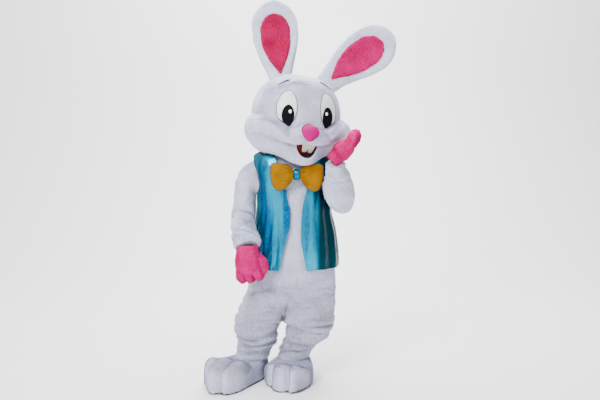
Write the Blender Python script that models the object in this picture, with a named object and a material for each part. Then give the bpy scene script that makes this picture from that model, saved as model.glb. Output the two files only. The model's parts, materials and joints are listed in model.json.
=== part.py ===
"""Rabbit mascot costume, worn form with no wearer: head, body suit, vest, bow tie, gloves and boots.

Metres, +Z up, front towards -Y, the wearer's left towards +X. The origin is the middle of the wearer's
shoulders, SHOULDER_HEIGHT above the floor. Every section table gives heights above the floor.
Each piece of cloth is a thin wall, closed all round, between an outer and an inner grid of points.
"""

import math

import bmesh
import bpy
import numpy as np

# Driving sizes
SHOULDER_HEIGHT = 1.34
SEAM_ANGLE = 0.08       # degrees trimmed from each side of a seam, about 0.3 mm between two pieces
SEAM_GAP = 0.0003
PLUSH_WALL = 0.008      # plush with its leaning pile
HEAD_WALL = 0.010       # plush over a foam shell
VEST_WALL = 0.0015
VEST_EASE = 0.015       # how far the vest hangs off the suit
HIP_HEIGHT = 0.56       # seam between trunk and legs
CROTCH_HEIGHT = 0.36
LEG_HEM_HEIGHT = 0.139
GLOVE_WALL = 0.005
BOOT_WALL = 0.012
SOLE_THICKNESS = 0.010
PLATE_REST = 0.0012     # how far the eyes' first layer lies off the plush
PLATE_GAP = 0.0006      # between one layer and the next


# ---------------------------------------------------------------- tables and curves
def table(columns, *rows):
    """A section table: the first column is what the others are read by."""
    names = columns.split()
    order = sorted(rows)
    return {name: np.array([row[i] for row in order], float) for i, name in enumerate(names)}


def read(tab, name, at):
    """A column of a table, read smoothly (monotone cubic) at the values `at` of its first column."""
    key = next(iter(tab))
    x, y = tab[key], tab[name]
    at = np.clip(np.asarray(at, float), x[0], x[-1])
    step = np.diff(x)
    slope = np.diff(y) / step
    lean = np.zeros_like(y)
    lean[0], lean[-1] = slope[0], slope[-1]
    inner = slope[1:] * slope[:-1] > 0
    mean = 2 * slope[1:] * slope[:-1] / np.where(inner, slope[1:] + slope[:-1], 1)
    lean[1:-1] = np.where(inner, mean, 0)
    i = np.clip(np.searchsorted(x, at, side="right") - 1, 0, len(x) - 2)
    t = (at - x[i]) / step[i]
    return (y[i] * (1 + 2 * t) * (1 - t) ** 2 + y[i + 1] * t * t * (3 - 2 * t)
            + step[i] * (lean[i] * t * (1 - t) ** 2 - lean[i + 1] * t * t * (1 - t)))


def ramp(low, high, at):
    """0 below low, 1 above high, smooth between."""
    t = np.clip((at - low) / (high - low), 0, 1)
    return t * t * (3 - 2 * t)


def bell(distance, spread):
    return np.exp(-0.5 * (distance / spread) ** 2)


def unit(vectors):
    return vectors / np.linalg.norm(vectors, axis=-1, keepdims=True)


def stack(*parts):
    return np.stack(np.broadcast_arrays(*parts), axis=-1)


def turned(points, pitch, roll, yaw):
    """Points turned by degrees about X, then Y, then Z."""
    cx, sx = math.cos(math.radians(pitch)), math.sin(math.radians(pitch))
    cy, sy = math.cos(math.radians(roll)), math.sin(math.radians(roll))
    cz, sz = math.cos(math.radians(yaw)), math.sin(math.radians(yaw))
    about_x = np.array([[1, 0, 0], [0, cx, -sx], [0, sx, cx]])
    about_y = np.array([[cy, 0, sy], [0, 1, 0], [-sy, 0, cy]])
    about_z = np.array([[cz, -sz, 0], [sz, cz, 0], [0, 0, 1]])
    return points @ (about_z @ about_y @ about_x).T


def surface_normals(function, u, v, outward):
    """Unit normals of function(u, v), by small steps each way, pointing like the vectors `outward`."""
    du, dv = 0.002, 0.5
    across_u = function(u + du, v) - function(u - du, v)
    across_v = function(u, v + dv) - function(u, v - dv)
    normal = unit(np.cross(across_u, across_v))
    facing = np.sum(normal * outward, axis=-1, keepdims=True)
    return np.where(facing < 0, -normal, normal)


# ---------------------------------------------------------------- making objects
def material(name, colour, roughness, metallic=0.0):
    made = bpy.data.materials.new(name)
    made.use_nodes = True
    shader = made.node_tree.nodes["Principled BSDF"]
    shader.inputs["Base Color"].default_value = (*colour, 1.0)
    shader.inputs["Roughness"].default_value = roughness
    shader.inputs["Metallic"].default_value = metallic
    return made


def add_object(name, points, faces, surface, sharp=50):
    """One closed object from points above the floor, hung from the shoulders' empty."""
    mesh = bpy.data.meshes.new(name)
    mesh.from_pydata([tuple(p) for p in points], [], faces)
    work = bmesh.new()
    work.from_mesh(mesh)
    bmesh.ops.remove_doubles(work, verts=work.verts, dist=1e-6)
    bmesh.ops.recalc_face_normals(work, faces=work.faces)
    work.to_mesh(mesh)
    work.free()
    mesh.shade_smooth()
    mesh.set_sharp_from_angle(angle=math.radians(sharp))
    mesh.materials.append(surface)
    piece = bpy.data.objects.new(name, mesh)
    bpy.context.scene.collection.objects.link(piece)
    piece.parent = bpy.data.objects["wearer"]
    return piece


def wall(name, outer, inner, surface, loop=False):
    """Cloth between two grids [row][column]; loop joins its last column to its first."""
    rows, columns = outer.shape[:2]
    half = rows * columns
    faces = []

    def at(r, c):
        return r * columns + c % columns

    flat = outer.reshape(-1, 3)
    for r in range(rows - 1):
        for c in range(columns if loop else columns - 1):
            # both sides are split along the same diagonal, the shorter one outside, so they never cross
            a, b, d, e = at(r, c), at(r, c + 1), at(r + 1, c + 1), at(r + 1, c)
            if np.linalg.norm(flat[a] - flat[d]) < np.linalg.norm(flat[b] - flat[e]):
                halves = ((a, b, d), (a, d, e))
            else:
                halves = ((a, b, e), (b, d, e))
            for ring in halves:
                faces.append(ring)
                faces.append(tuple(half + i for i in reversed(ring)))
    for r, step in ((0, 1), (rows - 1, -1)):
        for c in range(columns if loop else columns - 1):
            a, b = (at(r, c), at(r, c + 1))[::step]
            faces.append((b, a, half + a, half + b))
    if not loop:
        for c, step in ((0, -1), (columns - 1, 1)):
            for r in range(rows - 1):
                a, b = (at(r, c), at(r + 1, c))[::step]
                faces.append((b, a, half + a, half + b))
    points = np.concatenate([outer.reshape(-1, 3), inner.reshape(-1, 3)])
    return add_object(name, points, faces, surface)


def solid_rings(name, rings, surface):
    """A closed body through rings of points, its first and last ring closed by fans to their middles."""
    rows, columns = rings.shape[:2]
    points = list(rings.reshape(-1, 3)) + [rings[0].mean(axis=0), rings[-1].mean(axis=0)]
    faces = []
    for c in range(columns):
        d = (c + 1) % columns
        for r in range(rows - 1):
            a, b = r * columns, (r + 1) * columns
            faces.append((a + c, a + d, b + d, b + c))
        last = (rows - 1) * columns
        faces.append((d, c, rows * columns))
        faces.append((last + c, last + d, rows * columns + 1))
    return add_object(name, points, faces, surface)


def plate(name, front, back, surface):
    """A plate of rings round a middle point: front and back are rings [ring][point], the middle first."""
    rings, around = front.shape[:2]
    points = []
    faces = []
    for side in (front, back):
        points.append(side[0].mean(axis=0))
        points.extend(side[1:].reshape(-1, 3))
    half = 1 + (rings - 1) * around
    for offset in (0, half):
        for c in range(around):
            d = (c + 1) % around
            faces.append((offset, offset + 1 + c, offset + 1 + d))
            for r in range(rings - 2):
                a, b = offset + 1 + r * around, offset + 1 + (r + 1) * around
                faces.append((a + c, b + c, b + d, a + d))
    rim = 1 + (rings - 2) * around
    for c in range(around):
        d = (c + 1) % around
        faces.append((rim + c, half + rim + c, half + rim + d, rim + d))
    return add_object(name, points, faces, surface)


# ---------------------------------------------------------------- head
HEAD_CENTRE = np.array([0.020, -0.030, 1.530])
HEAD_ROLL = 4.0
HEAD_YAW = 17.0
SKULL = {"side": 0.251, "front": 0.250, "back": 0.258, "up": 0.246, "down": 0.235}
SQUARENESS = 2.3        # 2 would make the bare skull an ellipsoid
BACK_SEAM = 112.0       # where the face's band meets the back panels

# Padding under the plush: where it swells, how far it reaches and how wide it spreads (degrees)
PADS = (
    # azimuth elevation reach azimuth_spread elevation_spread
    (68.0, -13.0, 0.060, 23.0, 12.0),     # cheeks
    (97.0, -33.0, 0.032, 42.0, 16.0),     # jowls
    (17.0, -17.0, 0.058, 18.0, 10.0),     # muzzle, either side of the nose
    (0.0, -47.0, 0.085, 24.0, 10.0),      # chin
)
# The seam above the cheeks, over the nose's bridge and under the eyes
CHEEK_SEAM = table("azimuth elevation", (0, -6.5), (6, -7.0), (14, -10.5), (22, -12.2), (30, -8.0),
                   (37, -3.5), (47, 1.5), (60, 4.0), (98, 4.0), (112, 3.5), (180, 2.5))
# The smile: the muzzle's lower edge, running out under the cheeks
SMILE = table("azimuth elevation depth", (0, -28.6, 0.004), (14, -30.0, 0.010), (23, -28.0, 0.013),
              (34, -26.0, 0.012), (42, -23.0, 0.010), (50, -19.0, 0.006), (58, -17.0, 0.0), (112, -16.0, 0.0))
# The open edge at the neck, level with the shoulders although the head is tilted
NECK_EDGE = table("azimuth elevation", (-180, -45), (-112, -47.5), (-75, -48.5), (-35, -54), (0, -57),
                  (35, -53), (75, -44), (112, -42), (180, -45))
# The open mouth: its middle and half width round the face, and how far the lower lip drops
MOUTH_MIDDLE = 1.5
MOUTH_REACH = 16.0
MOUTH_DROP = 12.5
HEAD_AZIMUTHS = (0, 5, 10, 14.5, 19, 28, 37, 46, 58, 73, 92, BACK_SEAM)


def smile_step(azimuth, elevation):
    """The crease of the smile, and the lower lip set back behind the upper one."""
    away = elevation - read(SMILE, "elevation", np.abs(azimuth))
    depth = read(SMILE, "depth", np.abs(azimuth))
    return depth * (bell(away, 2.2) + 0.9 * ramp(0.4, -0.4, away) * bell(away, 9.0))


def head_radius(azimuth, elevation):
    """Distance from the head's centre to the plush, by degrees from the face's middle and from level."""
    az, el = np.radians(azimuth), np.radians(elevation)
    ahead = np.where(np.cos(az) > 0, SKULL["front"], SKULL["back"])
    height = np.where(el > 0, SKULL["up"], SKULL["down"])
    side = np.abs(np.cos(el) * np.sin(az) / SKULL["side"]) ** SQUARENESS
    fore = np.abs(np.cos(el) * np.cos(az) / ahead) ** SQUARENESS
    rise = np.abs(np.sin(el) / height) ** SQUARENESS
    radius = (side + fore + rise) ** (-1 / SQUARENESS)
    below_seam = ramp(0, 8, read(CHEEK_SEAM, "elevation", np.abs(azimuth)) - elevation)
    swell = 0
    for pad_az, pad_el, reach, az_spread, el_spread in PADS:
        off = np.abs(np.abs(azimuth) - pad_az)
        swell = swell + reach * bell(off, az_spread) * bell(elevation - pad_el, el_spread)
    return radius + swell * below_seam - smile_step(azimuth, elevation) * (np.abs(azimuth) < 112)


def head_frame(points):
    """From the head's own axes to the costume's."""
    return turned(points, 0, HEAD_ROLL, HEAD_YAW) + HEAD_CENTRE


def head_point(azimuth, elevation, out=0.0):
    az, el = np.radians(azimuth), np.radians(elevation)
    r = head_radius(azimuth, elevation) + out
    return head_frame(stack(r * np.cos(el) * np.sin(az), -r * np.cos(el) * np.cos(az), r * np.sin(el)))


def head_panel(name, azimuths, tops, bottoms, rows, surface, aside=0.0):
    """A panel of the head between two lines of elevation, given at each azimuth, and moved aside."""
    share = np.linspace(0, 1, rows)[:, None]
    az = np.broadcast_to(azimuths, (rows, len(azimuths)))
    el = tops + (bottoms - tops) * share
    wall(name, head_point(az, el) + aside, head_point(az, el, -HEAD_WALL) + aside, surface)


def mirrored(values):
    """-b, -a, 0, a, b from 0, a, b."""
    values = np.array(values, float)
    return np.concatenate([-values[:0:-1], values])


def lower_lip(azimuth):
    """The jaw's upper edge: the smile, and below it the open mouth."""
    inside = np.clip(1 - ((azimuth - MOUTH_MIDDLE) / MOUTH_REACH) ** 2, 0, 1)
    return read(SMILE, "elevation", np.abs(azimuth)) - MOUTH_DROP * inside ** 0.7


def build_head(plush):
    gap = SEAM_ANGLE
    # the crown and the cheeks are two halves each, cut down the middle, so that each is a simpler bowl
    half = np.array(HEAD_AZIMUTHS, float)
    half[-1] -= gap
    whole_half = np.array(list(HEAD_AZIMUTHS) + [124, 138, 152, 166, 180])
    for side, word in ((-1, "right"), (1, "left")):
        aside = head_frame(np.array([side * SEAM_GAP / 2, 0, 0])) - head_frame(np.zeros(3))
        azimuths = np.sort(side * whole_half)
        seam = read(CHEEK_SEAM, "elevation", np.abs(azimuths)) + gap
        head_panel(f"head_crown_{word}", azimuths, np.full_like(seam, 90.0), seam, 8, plush, aside)
        azimuths = np.sort(side * half)
        top = read(CHEEK_SEAM, "elevation", np.abs(azimuths)) - gap
        lip = read(SMILE, "elevation", np.abs(azimuths)) + gap
        head_panel(f"head_cheeks_{word}", azimuths, top, lip, 6, plush, aside)

    face = mirrored(HEAD_AZIMUTHS)
    face[0], face[-1] = face[0] + gap, face[-1] - gap
    head_panel("head_jaw", face, lower_lip(face) - gap, read(NECK_EDGE, "elevation", face), 7, plush)

    behind = np.array([BACK_SEAM + gap, 124, 138, 152, 166, 180 - gap])
    for side, name in ((-1, "head_back_right"), (1, "head_back_left")):
        azimuths = np.sort(side * behind)
        top = read(CHEEK_SEAM, "elevation", np.abs(azimuths)) - gap
        head_panel(name, azimuths, top, read(NECK_EDGE, "elevation", azimuths), 7, plush)


# ---------------------------------------------------------------- face
EYE = {"azimuth": 28.0, "elevation": 10.8, "half_width": 12.8, "half_height": 22.2, "thickness": 0.0025}
PUPIL = {"azimuth": 25.8, "elevation": 1.8, "half_width": 7.6, "half_height": 13.2, "thickness": 0.0020}
GLINT = {"azimuth": 23.4, "elevation": 7.0, "half_width": 1.8, "half_height": 2.0, "thickness": 0.0015}
BROW = table("along azimuth elevation half_width", (0, 32, 52.0, 0.7), (0.3, 37, 50.0, 1.3),
             (0.7, 43, 45.5, 1.0), (1, 49, 40.0, 0.4))
BROW_SLANT = 0.35
BROW_THICKNESS = 0.0023
# The nose: its front stands on a radius of its own, as far out as the muzzle beside it
NOSE = {"elevation": -14.9, "half_width": 0.053, "half_height": 0.044, "reach": 0.024, "edge": 0.010,
        "beside": 10.0, "narrowing": 0.36, "degrees_per_metre": math.degrees(1 / 0.31)}
TOOTH = {"middle": 3.6, "centre": 4.5, "half_width": 4.25, "length": 11.4, "thickness": 0.007,
         "set_back": 0.001, "under_lip": 0.12}
LINING = {"top": -24.0, "drop": 28.0, "past_mouth": 3.0, "set_back": 0.014, "thickness": 0.003}


def disc(shape, side, out, around=20, rings=4, clip=1.2):
    """Front and back rings of an oval plate lying on the head's crown, cut off by the cheek's seam."""
    angle = np.linspace(0, 2 * np.pi, around, endpoint=False)
    share = np.linspace(0, 1, rings)[:, None]
    narrow = 1 - 0.10 * ramp(0.2, -1.0, np.sin(angle))
    az = shape["azimuth"] + shape["half_width"] * share * np.cos(angle) * narrow
    el = shape["elevation"] + shape["half_height"] * share * np.sin(angle)
    el = np.maximum(el, read(CHEEK_SEAM, "elevation", np.abs(az)) + clip)
    back = head_point(side * az, el, out)
    front = head_point(side * az, el, out + shape["thickness"])
    return front, back


def build_eyes(white, black, glint):
    rest = PLATE_REST
    layers = (("eye", EYE, white, 1.2, 22, 4), ("pupil", PUPIL, black, 1.7, 16, 3),
              ("glint", GLINT, glint, 2.2, 10, 2))
    for name, shape, surface, clip, around, rings in layers:
        for side, word in ((-1, "right"), (1, "left")):
            front, back = disc(shape, side, rest, around, rings, clip)
            plate(f"{name}_{word}", front, back, surface)
        rest += shape["thickness"] + PLATE_GAP


def build_brows(black):
    """A thin tapered stroke of felt on each side of the brow."""
    along = np.linspace(0, 1, 7)
    az, el = read(BROW, "azimuth", along), read(BROW, "elevation", along)
    half = read(BROW, "half_width", along)
    for side, word in ((-1, "right"), (1, "left")):
        across = np.array([-1.0, 1.0])[:, None]
        edge_az, edge_el = side * (az + BROW_SLANT * half * across), el + half * across
        front = head_point(edge_az, edge_el, PLATE_REST + BROW_THICKNESS)
        wall(f"brow_{word}", front, head_point(edge_az, edge_el, PLATE_REST), black)


def nose_faces(around, rings, rest=0.006):
    """The nose's front and back: a rounded triangle, point down, domed over the muzzle."""
    angle = np.linspace(0, 2 * np.pi, around, endpoint=False)
    share = np.linspace(0, 1, rings)[:, None]
    taper = 1 - NOSE["narrowing"] * ramp(0.5, -1.0, np.sin(angle))
    size = NOSE["degrees_per_metre"]
    az = NOSE["half_width"] * size * share * np.cos(angle) * taper
    el = NOSE["elevation"] + NOSE["half_height"] * size * share * np.sin(angle)
    dome = NOSE["reach"] * np.sqrt(np.clip(1 - share ** 2.4, 0, 1))
    level = head_radius(NOSE["beside"], NOSE["elevation"]) - head_radius(az, el)
    front = head_point(az, el, NOSE["edge"] + np.maximum(level, 0) + dome)
    return front, head_point(az, el, rest)


def build_nose(pink):
    front, back = nose_faces(18, 5)
    plate("nose", front, back, pink)


def build_mouth(lining, enamel):
    """A dark red lining behind the lips, and two front teeth under the upper lip."""
    rows, columns = 5, 9
    half = MOUTH_REACH + LINING["past_mouth"]
    across = np.broadcast_to(MOUTH_MIDDLE + np.linspace(-half, half, columns), (rows, columns))
    el = LINING["top"] - LINING["drop"] * np.broadcast_to(np.linspace(0, 1, rows)[:, None], (rows, columns))
    deep = head_radius(0.0, -28.0) - HEAD_WALL - LINING["set_back"]
    behind_wall = -HEAD_WALL - 0.0008
    set_back = np.minimum(deep - head_radius(across, el), behind_wall)
    front = head_point(across, el, set_back)
    back = head_point(across, el, set_back - LINING["thickness"])
    wall("mouth_lining", front, back, lining)
    for side, word in ((-1, "right"), (1, "left")):
        across = np.linspace(-1, 1, 5)
        down = np.linspace(0, 1, 4)[:, None]
        az = TOOTH["middle"] + side * TOOTH["centre"] + TOOTH["half_width"] * across * (1 - 0.25 * down ** 3)
        lip = read(SMILE, "elevation", np.abs(az)) - TOOTH["under_lip"]
        el = lip - TOOTH["length"] * down * (1 - 0.10 * across ** 4)
        face = head_radius(0.0, -29.2) - TOOTH["set_back"] - head_radius(az, el)
        front = head_point(az, el, face)
        back = head_point(az, el, face - TOOTH["thickness"])
        wall(f"tooth_{word}", front, back, enamel)


# ---------------------------------------------------------------- ears
# Sections from root to tip: share of the length, half width, half thickness, hollow of the front
EAR = table("along half_width half_thickness hollow", (0.0, 0.066, 0.030, 0.000), (0.15, 0.082, 0.031, 0.006),
            (0.35, 0.112, 0.031, 0.014), (0.55, 0.133, 0.031, 0.020), (0.70, 0.135, 0.030, 0.020),
            (0.82, 0.120, 0.027, 0.014), (0.92, 0.087, 0.022, 0.008), (0.98, 0.045, 0.016, 0.003),
            (1.0, 0.018, 0.009, 0.0))
EARS = {
    # root, middle and tip of each ear's centreline, and the way its hollow faces
    "right": {"root": (-0.062, 0.000, 1.745), "middle": (-0.092, 0.012, 1.970),
              "tip": (-0.103, 0.000, 2.194), "facing": (0.10, -1.0, 0.04)},
    "left": {"root": (0.196, 0.010, 1.722), "middle": (0.385, 0.016, 1.880),
             "tip": (0.588, 0.000, 1.985), "facing": (0.05, -1.0, 0.10)},
}
LINING_OUT = 0.009      # how far the ear's pink lining stands off the ear
EAR_INNER = table("along half_width", (0.08, 0.002), (0.15, 0.022), (0.30, 0.060), (0.50, 0.084),
                  (0.64, 0.084), (0.76, 0.062), (0.82, 0.034), (0.84, 0.004))


def ear_axes(ear, along):
    """Centreline points, the ear's width direction and its facing direction at each share of its length."""
    root, middle, tip = (np.array(ear[k]) for k in ("root", "middle", "tip"))
    bend = 2 * middle - (root + tip) / 2
    s = np.asarray(along)[..., None]
    centre = root * (1 - s) ** 2 + 2 * bend * s * (1 - s) + tip * s ** 2
    run = unit(2 * (bend - root) * (1 - s) + 2 * (tip - bend) * s)
    facing = np.array(ear["facing"])
    facing = unit(facing - run * np.sum(run * facing, axis=-1, keepdims=True))
    return centre, np.cross(run, facing), facing


def ear_front(ear, along, across, out=0.0, back=False):
    """The ear's front (or back) surface; across runs -1 to 1 over its width."""
    centre, wide, facing = ear_axes(ear, along)
    half = read(EAR, "half_width", along)
    dome = np.sqrt(np.clip(1 - np.abs(across) ** 3.2, 0, 1))
    thick = read(EAR, "half_thickness", along) * dome
    hollow = read(EAR, "hollow", along) * (1 - across ** 2) * 1.6
    lift = (-thick if back else thick) - hollow + out
    return centre + wide * (half * across)[..., None] + facing * lift[..., None]


def onto_head(point, toward, search=0.12, stand_off=0.002):
    """The place where a line through point along toward leaves the head's crown, by halving."""
    low, high = -search, search
    for _ in range(40):
        middle = (low + high) / 2
        spot = point + toward * middle
        local = turned_back(spot - HEAD_CENTRE)
        distance = np.linalg.norm(local)
        elevation = math.degrees(math.asin(local[2] / distance))
        azimuth = math.degrees(math.atan2(local[0], -local[1]))
        if distance > head_radius(azimuth, elevation) + stand_off:
            high = middle
        else:
            low = middle
    return point + toward * high


def turned_back(vector):
    """From the costume's axes to the head's own."""
    frame = turned(np.eye(3), 0, HEAD_ROLL, HEAD_YAW)
    return frame @ vector


def build_ears(plush, pink):
    around = 14
    for word, ear in EARS.items():
        along = np.array([0.0, 0.15, 0.32, 0.48, 0.62, 0.75, 0.86, 0.94, 0.985, 1.0])
        across = np.cos(np.linspace(0, np.pi, around // 2 + 1))
        rings = []
        for s in along:
            front = ear_front(ear, np.full(len(across), s), across)
            back = ear_front(ear, np.full(len(across) - 2, s), across[-2:0:-1], back=True)
            rings.append(np.concatenate([front, back]))
        rings = np.array(rings)
        centre, _, _ = ear_axes(ear, 0.0)
        tip, _, _ = ear_axes(ear, 0.15)
        toward = unit(tip - centre)
        root = np.array([onto_head(p, toward) for p in rings[0]])
        foot = centre + (root - centre) * 0.5
        foot = np.array([onto_head(p, toward) for p in foot])
        rings = np.concatenate([foot[None], root[None], rings[1:]])
        solid_rings(f"ear_{word}", rings, plush)

        rows = np.array([0.08, 0.13, 0.23, 0.37, 0.51, 0.63, 0.72, 0.79, 0.83])[:, None]
        share = np.linspace(-1, 1, 7)
        inner = read(EAR_INNER, "half_width", rows) / read(EAR, "half_width", rows) * share
        rows = np.broadcast_to(rows, inner.shape)
        front = ear_front(ear, rows, inner, LINING_OUT)
        wall(f"ear_inner_{word}", front, ear_front(ear, rows, inner, LINING_OUT / 2), pink)


# ---------------------------------------------------------------- body suit
TRUNK = table("height centre_x half_width front back",
              (1.352, 0.006, 0.100, 0.086, 0.095), (1.335, 0.002, 0.150, 0.104, 0.112),
              (1.305, -0.002, 0.204, 0.126, 0.132), (1.270, -0.002, 0.213, 0.145, 0.146),
              (1.200, 0.004, 0.208, 0.163, 0.156), (1.120, 0.010, 0.196, 0.168, 0.160),
              (1.000, 0.014, 0.198, 0.170, 0.160), (0.880, 0.016, 0.220, 0.174, 0.164),
              (0.760, 0.012, 0.236, 0.178, 0.172), (0.660, 0.004, 0.248, 0.174, 0.178),
              (0.560, 0.000, 0.258, 0.166, 0.174), (0.460, -0.020, 0.273, 0.158, 0.166),
              (0.360, -0.042, 0.296, 0.150, 0.155))
# The middle seam below the hips, where the legs' panels meet
MIDDLE_SEAM = table("height x", (0.360, -0.050), (0.460, -0.026), (0.560, 0.000), (0.600, 0.002))
ARMHOLE = {"height": 1.195, "half_height": 0.104, "reach": 22.0}
ARMHOLE_STEPS = 7
TRUNK_COLUMNS = 14
# Rows at which the left back and the vest's left front are cut level in two, to be simpler pieces
TRUNK_CUT_ROW = 10
VEST_CUT_ROW = 8
LEG_COLUMNS = 8

# The legs below the hip seam: the wearer's right and left
LEG_RIGHT = table("height centre_x centre_y half_width half_depth",
                  (0.560, -0.130, 0.002, 0.130, 0.160), (0.460, -0.160, 0.000, 0.134, 0.155),
                  (0.360, -0.196, -0.004, 0.1450, 0.145), (0.300, -0.211, -0.010, 0.132, 0.134),
                  (0.240, -0.207, -0.014, 0.122, 0.124), (0.200, -0.213, -0.014, 0.115, 0.116),
                  (0.160, -0.228, -0.012, 0.105, 0.106), (0.120, -0.238, -0.008, 0.100, 0.100))
LEG_LEFT = table("height centre_x centre_y half_width half_depth",
                 (0.560, 0.135, 0.002, 0.130, 0.160), (0.460, 0.112, 0.000, 0.142, 0.158),
                 (0.360, 0.102, -0.006, 0.1515, 0.150), (0.310, 0.104, -0.016, 0.141, 0.144),
                 (0.250, 0.079, -0.022, 0.125, 0.130), (0.205, 0.046, -0.024, 0.110, 0.115),
                 (0.165, 0.020, -0.022, 0.097, 0.104), (0.120, 0.004, -0.018, 0.093, 0.098))
# Folds that run round a leg: height at the front, angle of its deepest point, tilt, length, depth, width
LEG_FOLDS = {
    -1: ((0.232, 150, 0.020, 60, 0.012, 0.012), (0.198, 60, -0.004, 80, 0.010, 0.010),
         (0.160, 110, 0.006, 90, 0.014, 0.010), (0.205, -90, 0.005, 70, 0.012, 0.011),
         (0.158, -60, -0.006, 80, 0.012, 0.010), (0.290, -120, 0.010, 50, 0.008, 0.013)),
    1: ((0.305, 120, -0.012, 60, 0.012, 0.012), (0.268, 130, -0.006, 70, 0.013, 0.011),
        (0.222, 85, 0.016, 75, 0.014, 0.012), (0.178, 110, -0.010, 80, 0.014, 0.010),
        (0.250, -70, 0.010, 70, 0.013, 0.012), (0.190, -110, -0.008, 80, 0.013, 0.010),
        (0.390, 60, 0.030, 40, 0.006, 0.014)),
}


def trunk_point(height, turn):
    """The suit's trunk: turn is 0 at the front's middle, +90 at the wearer's left side."""
    angle = np.radians(turn)
    deep = np.where(np.cos(angle) > 0, read(TRUNK, "front", height), read(TRUNK, "back", height))
    x = read(TRUNK, "centre_x", height) + read(TRUNK, "half_width", height) * np.sin(angle)
    return stack(x, -deep * np.cos(angle), height)


def trunk_normals(height, turn):
    angle = np.radians(turn)
    outward = stack(np.sin(angle), -np.cos(angle), np.zeros_like(angle + height))
    normal = surface_normals(trunk_point, height, turn, outward)
    level = stack(np.ones_like(height), np.ones_like(height), ramp(HIP_HEIGHT, HIP_HEIGHT + 0.02, height))
    return unit(normal * level)


def armhole_cut(height, margin=0.0, reach=0.0):
    """Degrees by which the armhole cuts a panel back from the side, at each height."""
    off = (height - ARMHOLE["height"]) / (ARMHOLE["half_height"] + margin)
    return (ARMHOLE["reach"] + reach) * np.sqrt(np.clip(1 - off ** 2, 0, 1))


def trunk_heights():
    swing = np.cos(np.linspace(0, np.pi, ARMHOLE_STEPS + 1))
    arm = ARMHOLE["height"] + ARMHOLE["half_height"] * swing
    return np.concatenate([[1.352, 1.334], arm, [1.03, 0.95, 0.86, 0.76, 0.66, HIP_HEIGHT + SEAM_GAP / 2]])


def two_lengths(heights, row):
    """Rows above and below a level cut, a seam's gap apart, for two lengths of one panel."""
    upper = np.append(heights[:row], heights[row] + SEAM_GAP / 2)
    lower = np.append(heights[row] - SEAM_GAP / 2, heights[row + 1:])
    return upper, lower


def trunk_panel(name, heights, starts, ends, columns, surface):
    share = np.linspace(0, 1, columns + 1)
    turn = starts[:, None] + (ends - starts)[:, None] * share
    height = np.broadcast_to(heights[:, None], turn.shape)
    outer = trunk_point(height, turn)
    wall(name, outer, outer - PLUSH_WALL * trunk_normals(height, turn), surface)


def build_trunk(plush):
    gap = SEAM_ANGLE
    heights = trunk_heights()
    side = 90 - armhole_cut(heights) - gap
    trunk_panel("suit_front", heights, -side, side, TRUNK_COLUMNS, plush)
    upper, lower = two_lengths(heights, TRUNK_CUT_ROW)
    backs = (("suit_back_right", -1, heights), ("suit_back_left_upper", 1, upper),
             ("suit_back_left_lower", 1, lower))
    for name, way, rows in backs:
        side = 90 + armhole_cut(rows) + gap
        behind = np.full_like(side, 180 - gap)
        starts, ends = (side, behind) if way > 0 else (-behind, -side)
        trunk_panel(name, rows, starts, ends, TRUNK_COLUMNS // 2, plush)


def leg_fold_depth(side, height, around):
    depth = 0
    for level, angle, tilt, length, deep, width in LEG_FOLDS[side]:
        off = (around - angle + 180) % 360 - 180
        depth = depth + deep * bell(off, length / 2) * bell(height - level - tilt * off / length, width)
    return depth


def leg_point(side, height, around):
    """A leg: around is 0 at the outer side, 90 at the front, 180 at the inner side, -90 at the back."""
    legs = LEG_RIGHT if side < 0 else LEG_LEFT
    angle = np.radians(around)
    half, deep = read(legs, "half_width", height), read(legs, "half_depth", height)
    fold = leg_fold_depth(side, height, around)
    leg_x = read(legs, "centre_x", height) + side * (half - fold) * np.cos(angle)
    leg_y = read(legs, "centre_y", height) - (deep - fold) * np.sin(angle)
    hip = trunk_point(height, side * (90 - around / 2))
    middle = read(MIDDLE_SEAM, "x", height)
    hip_x = hip[..., 0] + (middle - read(TRUNK, "centre_x", height)) * np.sin(np.radians(around / 2)) ** 4
    blend = np.clip((HIP_HEIGHT - height) / (HIP_HEIGHT - CROTCH_HEIGHT), 0, 1) ** 1.8
    x = hip_x * (1 - blend) + leg_x * blend
    y = hip[..., 1] * (1 - blend) + leg_y * blend
    inside = side * (x - middle)
    x = np.where(height >= CROTCH_HEIGHT - 0.001, middle + side * np.maximum(inside, SEAM_GAP / 2), x)
    return stack(x, y, height)


def build_legs(plush):
    gap = 2 * SEAM_ANGLE
    heights = np.array([HIP_HEIGHT - SEAM_GAP / 2, 0.50, 0.43, CROTCH_HEIGHT, 0.32, 0.285, 0.25,
                        0.22, 0.19, 0.16, LEG_HEM_HEIGHT])
    for side, word in ((-1, "right"), (1, "left")):
        for face, way in (("front", 1), ("back", -1)):
            around = np.broadcast_to(way * np.linspace(gap, 180 - gap, LEG_COLUMNS + 1),
                                     (len(heights), LEG_COLUMNS + 1))
            height = np.broadcast_to(heights[:, None], around.shape)
            outer = leg_point(side, height, around)
            legs = LEG_RIGHT if side < 0 else LEG_LEFT
            core = stack(read(legs, "centre_x", height), read(legs, "centre_y", height), height)
            normal = surface_normals(lambda h, a: leg_point(side, h, a), height, around, outer - core)
            level = ramp(HIP_HEIGHT, HIP_HEIGHT - 0.04, height) * 0.7
            normal = unit(normal * stack(np.ones_like(level), np.ones_like(level), level))
            inner = outer - PLUSH_WALL * normal
            middle = read(MIDDLE_SEAM, "x", height)
            near = side * (inner[..., 0] - middle)
            inner[..., 0] = np.where(height > CROTCH_HEIGHT - 0.001,
                                     middle + side * np.maximum(near, SEAM_GAP / 2), inner[..., 0])
            wall(f"leg_{word}_{face}", outer, inner, plush)


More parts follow.
